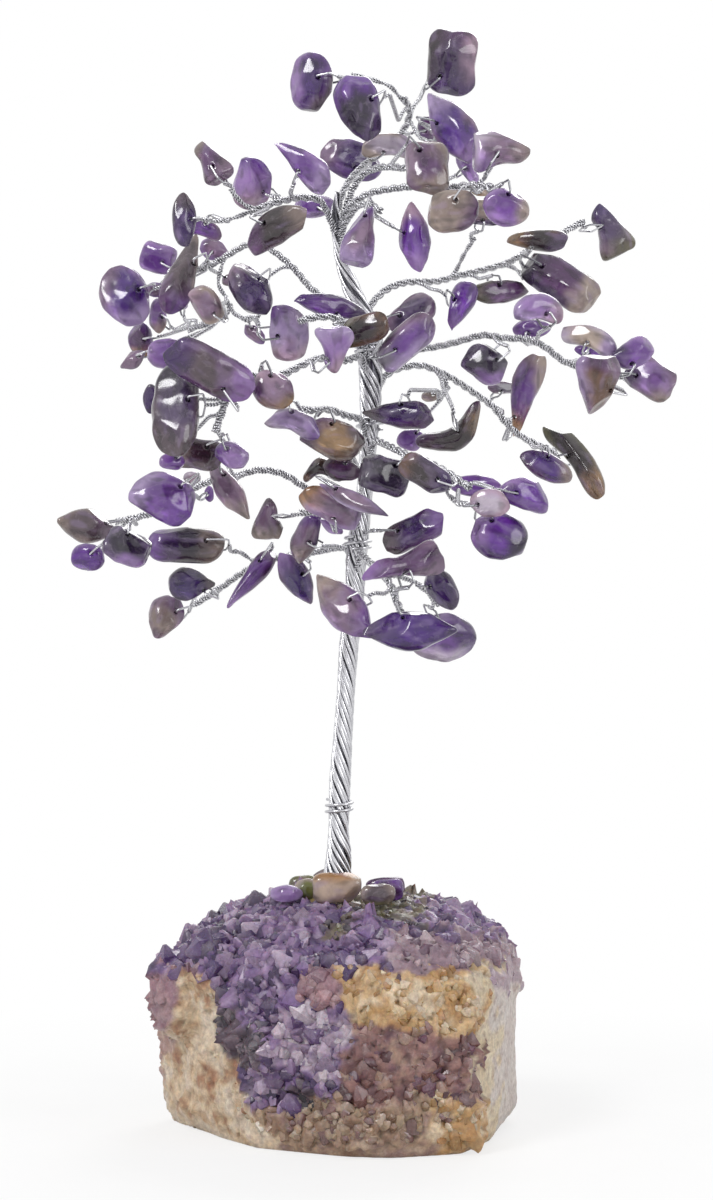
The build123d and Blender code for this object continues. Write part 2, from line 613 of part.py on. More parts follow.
def lean_of(index):
    return radians(lean_most * sin(radians(golden_turn * index)))


def roll_of(index):
    return radians(roll_most * cos(radians(golden_turn * index)))


def build_crown():
    """Every limb's thick wires, twigs and chips, by node name."""
    bodies = [
        chip_body(chip, at(chip.x_px, chip.y_px, chip.depth_share), lean_of(index), roll_of(index))
        for index, chip in enumerate(chips)
    ]
    wires = {}
    nodes = {}
    starts = {}
    for name, route in routes.items():
        points = [at(*point) for point in route.points]
        if route.parent == "trunk":
            radius = limb_radius
            start, _ = trunk_start(route.y_px, points[0], radius)
        else:
            radius = branch_radius
            start, _ = starts[name]
        wires[name] = wire_of([start] + points, radius)
        nodes.setdefault(route.limb + "_limb", []).append(tube(wires[name].path, radius))
        children = [child for child, other in routes.items() if other.parent == name]
        hung = [index for index, chip in enumerate(chips) if chip.wire == name]
        targets = [at(*routes[child].points[0]) for child in children]
        targets += [bodies[index].middle for index in hung]
        for key, place in zip(children + hung, leave_points(wires[name], targets, branch_radius)):
            starts[key] = place
    for index, chip in enumerate(chips):
        body = bodies[index]
        if chip.wire == "trunk":
            limb = "trunk"
            start, side = trunk_start(chip.y_px, body.middle, pair_radius)
        else:
            limb = routes[chip.wire].limb
            start, side = starts[index]
        hole, wire = twig(chip, body, start, side)
        nodes.setdefault(limb + "_twigs", []).append(wire)
        nodes.setdefault(limb + "_chips", []).append(drill(chip_solid(chip, body), body, hole))
    return nodes


# Rock: plan outlines at rising heights, as shares of its half width and half depth
plan_shares = [
    (0.03, -0.95), (0.3, -1.0), (0.7, -0.86), (0.86, -0.42), (0.98, 0.3), (0.9, 0.74),
    (0.45, 0.98), (-0.12, 1.0), (-0.62, 0.84), (-0.95, 0.34), (-0.72, -0.3), (-0.47, -0.66),
]
level_shares = [
    (0, 0.93), (0.07, 0.99), (0.36, 1.0), (0.7, 1.02), (0.82, 0.93), (0.91, 0.78), (0.97, 0.6),
    (1.0, 0.45),
]


def rock_level(height_share, size_share, index):
    points = []
    for step, (x_share, y_share) in enumerate(plan_shares):
        rough = size_share * (1 + rough_share * sin(3 * step + 2 * index))
        points.append(Vector(
            x_share * rough * rock_half_width,
            y_share * rough * rock_half_depth,
            height_share * rock_height))
    return Wire(Polyline(*points, close=True).edges())


# Crystals that stand out of the rock: the seat, the size against a plain crystal and the lean
class Crystal(NamedTuple):
    x_share: float
    y_share: float
    z_share: float
    width_share: float
    length_share: float
    lean_x: float
    lean_y: float
    lean_z: float = 1.0


crystals = [
    Crystal(-0.84, -0.05, 0.6, 1.25, 1.9, -0.75, -0.2),
    Crystal(-0.62, -0.3, 0.68, 1.3, 2.0, -0.45, -0.3),
    Crystal(-0.36, -0.56, 0.68, 1.35, 1.9, -0.2, -0.65),
    Crystal(-0.1, -0.7, 0.62, 1.2, 1.9, 0.05, -0.7),
    Crystal(0.16, -0.66, 0.7, 1.2, 1.8, 0.1, -0.5),
    Crystal(0.46, -0.5, 0.7, 1.25, 1.8, 0.2, -0.4),
    Crystal(0.68, -0.2, 0.64, 1.2, 1.8, 0.5, -0.2),
    Crystal(0.82, 0.2, 0.58, 1.25, 1.8, 0.6, 0.1),
    Crystal(-0.74, 0.4, 0.64, 1.3, 1.8, -0.5, 0.3),
    Crystal(-0.4, 0.66, 0.68, 1.3, 1.7, -0.2, 0.45),
    Crystal(0.05, 0.72, 0.68, 1.4, 1.8, 0.0, 0.5),
    Crystal(0.5, 0.6, 0.66, 1.3, 1.8, 0.3, 0.45),
    Crystal(-0.54, 0.08, 0.78, 1.1, 1.5, -0.2, 0.0),
    Crystal(0.56, 0.14, 0.76, 1.0, 1.5, 0.2, 0.1),
    Crystal(-0.34, -0.72, 0.44, 1.3, 1.1, -0.4, -1.0, 0.3),
    Crystal(-0.04, -0.84, 0.3, 1.2, 1.0, 0.0, -1.0, 0.3),
    Crystal(0.28, -0.86, 0.5, 1.3, 1.0, 0.1, -1.0, 0.3),
    Crystal(0.56, -0.8, 0.26, 1.2, 1.0, 0.3, -1.0, 0.3),
    Crystal(0.2, -0.88, 0.12, 1.1, 1.0, 0.1, -1.0, 0.3),
]


def crystal(row):
    """A six-sided crystal with a blunt point."""
    seat = Vector(
        row.x_share * rock_half_width, row.y_share * rock_half_depth, row.z_share * rock_height)
    axis = Vector(row.lean_x, row.lean_y, row.lean_z).normalized()
    plane = Plane(origin=seat, z_dir=axis)
    points = []
    for height_share, size_share in crystal_ring_shares:
        radius = crystal_radius * row.width_share * size_share
        height = crystal_radius * row.length_share * height_share
        for step in range(6):
            angle = radians(60 * step + crystal_turn)
            local = Vector(cos(angle) * radius, sin(angle) * radius, height)
            points.append(plane.from_local_coords(local))
    return ConvexPolyhedron(points).solid()


def rock_base():
    levels = [rock_level(height, size, index) for index, (height, size) in enumerate(level_shares)]
    body = Solid.make_loft(levels, ruled=True)
    body = body.fuse(*[crystal(row) for row in crystals])
    reach = 2 * (rock_half_width + rock_half_depth)
    slab = Solid.make_box(reach, reach, rock_height, Plane(origin=(-reach / 2, -reach / 2, 0)))
    return (body & slab).solid()


# Chips glued round the foot of the trunk: they stand on the rock's top
class FootChip(NamedTuple):
    x_px: float
    depth_share: float
    long_px: float
    wide_px: float
    outline: str
    thick_share: float


foot_chips = [
    FootChip(337, -0.24, 48, 30, "block", 0.62),
    FootChip(307, -0.12, 24, 22, "disk", 0.8),
    FootChip(286, -0.2, 34, 17, "oval", 1.0),
    FootChip(386, 0.04, 40, 20, "plate", 0.8),
    FootChip(388, -0.17, 30, 22, "block", 0.8),
    FootChip(378, -0.36, 34, 22, "plate", 0.7),
    FootChip(330, 0.2, 40, 26, "oval", 0.7),
    FootChip(303, 0.12, 30, 20, "plate", 0.8),
]


def foot_chip(row):
    half_wide = chip_length * row.wide_px / chip_px / 2
    place = at(row.x_px, tree_foot_px, row.depth_share)
    middle = Vector(place.X, place.Y, rock_height + half_wide + foot_gap)
    chip = Chip("rock", row.x_px, 0, 0, row.long_px, row.wide_px, 0, row.outline, 1, row.thick_share)
    return chip_solid(chip, chip_body(chip, middle, 0.0, 0.0))


def foot_glue(trunk, stones):
    """A low pool of glue that the trunk and the foot chips stand in."""
    middle, _ = trunk_at(tree_foot_px)
    seat = Plane(origin=middle)
    lower = seat * Wire(Edge.make_circle(glue_radius))
    upper = seat.offset(glue_height) * Wire(Edge.make_circle(glue_radius * glue_top_share))
    pool = Solid.make_loft([lower, upper], ruled=True)
    for solid in [trunk] + stones:
        pool = pool - solid
    return pool.solids()


def write(node, solids):
    export_step(Compound(children=list(solids), label=node), "parts/" + node + ".step")


def build_all():
    trunk = trunk_bundle()
    stones = [foot_chip(row) for row in foot_chips]
    nodes = {
        "rock_base": [rock_base()],
        "trunk_bundle": [trunk],
        "trunk_wraps": [wrap(place) for place in wraps],
        "foot_chips": stones,
        "foot_glue": foot_glue(trunk, stones),
    }
    nodes.update(build_crown())
    return nodes


os.makedirs("parts", exist_ok=True)
built = build_all()
for node, solids in built.items():
    write(node, solids)
print(len(built), "nodes,", sum(len(solids) for solids in built.values()), "solids")
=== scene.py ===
import json
import bmesh
import bpy
import numpy as np
from math import atan2, ceil, cos, pi, radians, sin, tan
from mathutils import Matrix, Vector, kdtree, noise
from random import Random
from typing import NamedTuple

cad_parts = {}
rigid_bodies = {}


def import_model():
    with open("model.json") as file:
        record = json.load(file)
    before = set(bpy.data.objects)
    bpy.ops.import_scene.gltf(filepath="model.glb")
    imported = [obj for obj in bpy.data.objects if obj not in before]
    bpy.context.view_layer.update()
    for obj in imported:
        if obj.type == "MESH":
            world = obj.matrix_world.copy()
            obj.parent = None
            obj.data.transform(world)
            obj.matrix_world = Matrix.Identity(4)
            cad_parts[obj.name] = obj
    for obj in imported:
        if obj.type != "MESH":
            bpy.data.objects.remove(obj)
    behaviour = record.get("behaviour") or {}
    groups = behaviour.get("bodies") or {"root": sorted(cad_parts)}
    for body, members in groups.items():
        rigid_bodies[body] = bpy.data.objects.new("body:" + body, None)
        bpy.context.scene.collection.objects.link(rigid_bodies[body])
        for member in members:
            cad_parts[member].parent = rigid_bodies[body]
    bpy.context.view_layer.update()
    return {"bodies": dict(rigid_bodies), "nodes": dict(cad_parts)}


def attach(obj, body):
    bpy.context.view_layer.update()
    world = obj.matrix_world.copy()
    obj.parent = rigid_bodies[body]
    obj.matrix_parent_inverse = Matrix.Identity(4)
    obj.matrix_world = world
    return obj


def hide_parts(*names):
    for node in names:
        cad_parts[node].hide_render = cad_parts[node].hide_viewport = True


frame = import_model()

# The photograph's scale, in metres, as the solids have it
mm = 0.001
tree_rise = 155.4 * mm
crown_half_depth = 38.0 * mm
rock_height = 41.0 * mm
view_distance = 500.0 * mm
tree_top_px = 25
tree_foot_px = 899
middle_px = 356.5
level_px = 600
origin_px = 340
photo_height_px = 1200
m_per_px = tree_rise / (tree_foot_px - tree_top_px)

# Wires, as the solids have them
wire_radius = 0.2 * mm
branch_radius = 0.5 * mm
limb_radius = 0.72 * mm
trunk_radius = 1.8 * mm
wire_gap = 0.12 * mm
root_gap = 0.35 * mm
pair_radius = 2 * wire_radius
pair_spacing = 1.5 * mm
bend_share = 0.45
lift_share = 0.2
least_run = 1.0 * mm
least_turn = 3.0
most_turn = 80.0
twig_bend = 3.0 * mm

# Chips and their loops, as the solids have them
chip_length = 10.67 * mm
chip_px = 60
hole_share = 0.5
front_share = 1.06
corner_power = 3
lean_most = 26.0
roll_most = 18.0
golden_turn = 137.5
loop_reach = 0.9 * mm
arrival_run = 1.3 * mm
arrival_share = 0.4
loop_gap = 0.3 * mm
loop_bend = 0.42 * mm
stone_lift = 0.25 * mm

# How finely lines are cut, and the lay of their strands
line_spacing = 0.12 * mm
arc_steps = 9
pair_pitch = 1.15 * mm
rope_pitch = 6.5 * mm
# How sharply the painted shade gathers in the grooves between strands.
groove_shade_power = 0.6


# Colours, written as they look on a screen
tones = {
    "inky": (40, 27, 54), "deep": (62, 30, 98), "indigo": (70, 46, 112), "royal": (78, 34, 130),
    "vivid": (108, 50, 160), "violet": (116, 72, 154), "plum": (98, 60, 108),
    "dusk": (86, 68, 104), "mauve": (146, 118, 146), "lavender": (166, 128, 194),
    "lilac": (186, 162, 208), "milky": (205, 192, 208), "pink": (196, 164, 184),
    "smoky": (98, 82, 90), "taupe": (150, 132, 124), "beige": (188, 170, 156),
    "peach": (206, 180, 160), "brown": (112, 82, 66), "soot": (52, 40, 44),
    "tan": (164, 130, 92), "amber": (188, 138, 84), "olive": (104, 100, 72),
    "maroon": (66, 38, 54), "grey": (122, 116, 130), "moss": (128, 132, 74),
    # The next line's first two colours are the wires' painted shade in the grooves and the painted
    # highlight on each strand.
    "groove_shade": (96, 96, 102), "strand": (222, 222, 226), "wire": (206, 206, 210),
    "dull_wire": (132, 132, 138), "cloud": (92, 66, 112), "grain": (120, 100, 110),
    # The next line's second colour is the painted glint on the crystals' tips.
    "frost": (222, 212, 214), "tip": (222, 210, 220), "speck": (138, 104, 96),
    "glue": (150, 128, 92),
}


def linear(tone):
    """A screen colour, by name or as three numbers, as the renderer's linear values."""
    values = np.array(tones[tone] if isinstance(tone, str) else tone, float) / 255
    return np.where(values <= 0.04045, values / 12.92, ((values + 0.055) / 1.055) ** 2.4)


def at(x_px, y_px, depth_share=0.0):
    """The point that the photograph shows at a pixel, at a share of the crown's depth."""
    depth = depth_share * crown_half_depth
    scale = m_per_px * (view_distance + depth) / view_distance
    middle_x = (middle_px - origin_px) * m_per_px
    level_z = rock_height + (tree_foot_px - level_px) * m_per_px
    return np.array([middle_x + (x_px - middle_px) * scale, depth,
                     level_z + (level_px - y_px) * scale])


def pixel_of(point):
    """Where the photograph shows a point."""
    scale = m_per_px * (view_distance + point[1]) / view_distance
    middle = at(middle_px, level_px)
    return middle_px + (point[0] - middle[0]) / scale, level_px - (point[2] - middle[2]) / scale


def unit(vector):
    return vector / np.linalg.norm(vector)


def turn_between(first, second):
    """The angle between two directions, in degrees."""
    return np.degrees(np.arccos(np.clip(np.dot(unit(first), unit(second)), -1, 1)))


# Trunk: its middle and width as the photograph shows them, from the foot up
trunk_rings = [
    (337, 899, 1.85), (337, 884, 1.6), (338, 868, 1.35), (339, 850, 1.22), (338.5, 832, 1.0),
    (340, 780, 1.08), (343, 735, 0.95), (346, 689, 0.9), (349, 643, 0.98), (355, 600, 0.9),
    (356, 560, 1.05), (358, 540, 1.05), (364, 500, 0.82), (367, 460, 0.82), (370, 420, 1.0),
    (371, 380, 1.18), (369, 350, 1.2), (366, 320, 1.08), (352, 290, 0.95), (342, 260, 0.75),
    (338, 235, 0.62), (335, 207, 0.55), (337, 192, 0.45),
]


def trunk_at(y_px):
    """Middle and radius of the trunk at a height in the photograph."""
    ring_y = [-ring[1] for ring in trunk_rings]
    x_px = np.interp(-y_px, ring_y, [ring[0] for ring in trunk_rings])
    share = np.interp(-y_px, ring_y, [ring[2] for ring in trunk_rings])
    return at(x_px, y_px), trunk_radius * share


class Route(NamedTuple):
    """A limb or branch: what it leaves, where it goes and, on the trunk, its root's height."""
    parent: str
    points: list
    y_px: float = 0


routes = {
    "crown_top": Route("trunk", [
        (350, 179, 0.12), (366, 163, 0.24), (386, 148, 0.3), (404, 131, 0.27), (411, 112, 0.17),
        (404, 98, 0.08)], 194),
    "crown_top_left": Route("crown_top", [(391, 86, 0.05), (374, 80, 0.03), (352, 74, -0.02)]),
    "crown_top_right": Route("crown_top", [(420, 139, 0.1), (437, 143, -0.08)]),
    "upper_right": Route("trunk", [
        (352, 203, -0.12), (368, 193, -0.18), (388, 189, -0.25), (414, 186, -0.33),
        (440, 190, -0.43), (470, 184, -0.54), (494, 187, -0.66)], 218),
    "crown_inner": Route("trunk", [
        (354, 185, 0.0), (365, 171, -0.08), (385, 166, -0.2), (404, 168, -0.32)], 206),
    "upper_left": Route("trunk", [
        (320, 199, -0.08), (300, 197, -0.16), (282, 201, -0.24), (265, 206, -0.3),
        (250, 212, -0.36)], 214),
    "upper_left_top": Route("upper_left", [(240, 201, -0.36), (230, 190, -0.4)]),
    "upper_left_out": Route("upper_left", [(232, 219, -0.34), (214, 222, -0.3)]),
    "heart": Route("trunk", [(357, 205, -0.2), (368, 203, -0.28), (381, 211, -0.36)], 228),
    "left": Route("trunk", [
        (330, 301, 0.14), (310, 288, 0.2), (297, 271, 0.26), (282, 257, 0.3), (262, 243, 0.34),
        (246, 244, 0.4), (228, 255, 0.46), (210, 266, 0.5), (190, 272, 0.58),
        (166, 277, 0.64)], 304),
    "left_low": Route("left", [
        (217, 284, 0.5), (228, 300, 0.5), (230, 314, 0.5), (212, 323, 0.52), (188, 331, 0.56)]),
    "left_in": Route("left_low", [(244, 318, 0.44), (260, 316, 0.36)]),
    "front_left": Route("trunk", [
        (345, 362, -0.24), (322, 357, -0.36), (302, 365, -0.46), (284, 375, -0.54),
        (262, 378, -0.6), (240, 373, -0.66), (230, 386, -0.7), (224, 408, -0.74),
        (215, 432, -0.76)], 356),
    "lower_left": Route("trunk", [
        (335, 498, -0.08), (308, 490, -0.1), (284, 473, -0.12), (258, 469, -0.14),
        (237, 476, -0.12), (208, 481, -0.08), (180, 495, 0.0), (157, 512, 0.06), (135, 518, 0.06),
        (116, 522, 0.02)], 500),
    "centre_low": Route("trunk", [
        (345, 516, -0.16), (328, 515, -0.2), (314, 512, -0.2), (300, 513, -0.18)], 512),
    "bottom_left": Route("trunk", [
        (338, 547, 0.16), (315, 552, 0.3), (290, 555, 0.42), (262, 561, 0.5), (240, 574, 0.58),
        (215, 592, 0.66), (194, 605, 0.72)], 548),
    "bottom_left_out": Route("bottom_left", [(242, 553, 0.46), (235, 550, 0.42)]),
    "bottom_front": Route("trunk", [
        (367, 560, -0.26), (379, 570, -0.42), (391, 584, -0.54), (396, 600, -0.6),
        (401, 611, -0.66)], 552),
    "bottom_right": Route("bottom_front", [
        (412, 580, -0.38), (428, 593, -0.32), (438, 606, -0.28)]),
    "lower_right": Route("trunk", [
        (385, 444, -0.2), (403, 453, -0.34), (424, 460, -0.48), (442, 469, -0.56),
        (455, 477, -0.62), (470, 488, -0.7)], 440),
    "lower_right_low": Route("lower_right", [(446, 492, -0.62), (458, 504, -0.7)]),
    "right_mid": Route("trunk", [
        (396, 369, 0.12), (421, 364, 0.18), (447, 375, 0.26), (470, 390, 0.36), (494, 407, 0.46),
        (506, 424, 0.5), (521, 437, 0.54), (540, 446, 0.6), (556, 455, 0.64)], 376),
    "right_mid_low": Route("right_mid", [(446, 391, 0.22), (438, 401, 0.2)]),
    "right": Route("trunk", [
        (398, 349, -0.1), (424, 349, -0.15), (450, 344, -0.2), (484, 334, -0.26),
        (503, 338, -0.3), (530, 339, -0.36), (548, 348, -0.4), (562, 361, -0.43),
        (583, 368, -0.47), (610, 371, -0.52)], 344),
    "right_upper": Route("trunk", [
        (386, 289, 0.14), (405, 282, 0.24), (437, 282, 0.38), (458, 276, 0.46), (485, 270, 0.54),
        (512, 262, 0.62), (533, 247, 0.68), (561, 234, 0.74), (584, 221, 0.78)], 304),
    "right_upper_out": Route("right_upper", [(519, 271, 0.54), (524, 279, 0.46)]),
    "right_upper_in": Route("right_upper", [(459, 264, 0.38), (466, 250, 0.3), (475, 238, 0.22)]),
    "centre_left": Route("trunk", [
        (346, 416, -0.2), (330, 409, -0.3), (314, 411, -0.37), (301, 409, -0.44)], 420),
    "centre_front": Route("trunk", [
        (351, 327, -0.28), (335, 317, -0.38), (317, 317, -0.43), (299, 321, -0.47)], 340),
}

# Edges of the chips' outlines: place along, upper edge and lower edge, as shares
outline_shares = {
    "barrel": [(-1, 0.34, -0.36), (-0.74, 0.8, -0.78), (-0.1, 1, -1), (0.6, 0.88, -0.9),
               (1, 0.38, -0.32)],
    "block": [(-1, 0.62, -0.7), (-0.8, 0.94, -0.98), (0, 0.98, -1), (0.76, 1, -0.9),
              (1, 0.7, -0.62)],
    "disk": [(-1, 0.36, -0.36), (-0.7, 0.78, -0.78), (0, 1, -1), (0.7, 0.8, -0.76),
             (1, 0.38, -0.32)],
    "oval": [(-1, 0.24, -0.24), (-0.66, 0.76, -0.74), (0, 1, -1), (0.66, 0.76, -0.72),
             (1, 0.24, -0.24)],
    "leaf": [(-1, 0.12, -0.1), (-0.5, 0.7, -0.68), (0.05, 1, -1), (0.55, 0.68, -0.64),
             (1, 0.1, -0.1)],
    "half_moon": [(-1, -0.4, -0.75), (-0.6, 0.55, -0.95), (0, 1, -1), (0.6, 0.6, -0.95),
                  (1, -0.35, -0.75)],
    "fang": [(-1, 0.5, -0.5), (-0.65, 0.96, -0.9), (0, 0.92, -1), (0.55, 0.42, -0.95),
             (1, -0.3, -0.75)],
    "shard": [(-1, 0.1, -0.12), (-0.4, 0.6, -0.42), (0.2, 0.96, -0.8), (0.7, 0.85, -1),
              (1, 0.3, -0.72)],
    "kite": [(-1, 0.14, -0.12), (-0.3, 0.95, -0.7), (0.3, 0.8, -1), (1, 0.14, -0.26)],
    "drop": [(-1, 0.34, -0.32), (-0.64, 0.88, -0.86), (-0.15, 1, -1), (0.45, 0.62, -0.64),
             (1, 0.12, -0.12)],
    "bean": [(-1, 0, -0.66), (-0.62, 0.74, -1), (0, 1, -0.7), (0.62, 0.76, -1),
             (1, 0, -0.66)],
    "horn": [(-1, -0.55, -0.95), (-0.4, 0.25, -0.95), (0.2, 0.8, -0.8), (0.7, 1, -0.5),
             (1, 0.75, -0.05)],
    "spear": [(-1, 0.34, -0.4), (-0.62, 0.95, -1), (-0.1, 0.9, -0.86), (0.5, 0.5, -0.46),
              (1, 0.1, -0.08)],
    "triangle": [(-1, 0.12, -0.12), (-0.2, 0.52, -0.55), (0.5, 0.85, -0.95), (0.86, 1, -1),
                 (1, 0.78, -0.8)],
    "plate": [(-1, 0.3, -0.6), (-0.7, 0.85, -1), (0, 1, -0.95), (0.7, 1, -0.8),
              (1, 0.55, -0.2)],
    "crescent": [(-1, -0.5, -0.9), (-0.55, 0.45, -0.85), (0, 1, -0.4), (0.55, 0.5, -0.8),
                 (1, -0.46, -0.9)],
    "lemon": [(-1, 0.12, -0.12), (-0.7, 0.48, -0.5), (0, 1, -1), (0.7, 0.5, -0.44),
              (1, 0.12, -0.12)],
    "wedge": [(-1, 0.8, -0.75), (-0.76, 1, -0.95), (0, 0.8, -0.75), (0.6, 0.5, -0.42),
              (1, 0.2, -0.2)],
}


class Chip(NamedTuple):
    """A chip's place and size, as its solid has them, and its colours.

    The colours are the core's and the rim's, then those of coloured ends, each followed by its
    direction in degrees clockwise from the right.
    """
    wire: str
    x_px: float
    y_px: float
    depth_share: float
    long_px: float
    wide_px: float
    clock: float
    outline: str
    colours: str
    thick_share: float = 0.74
    side: int = 1


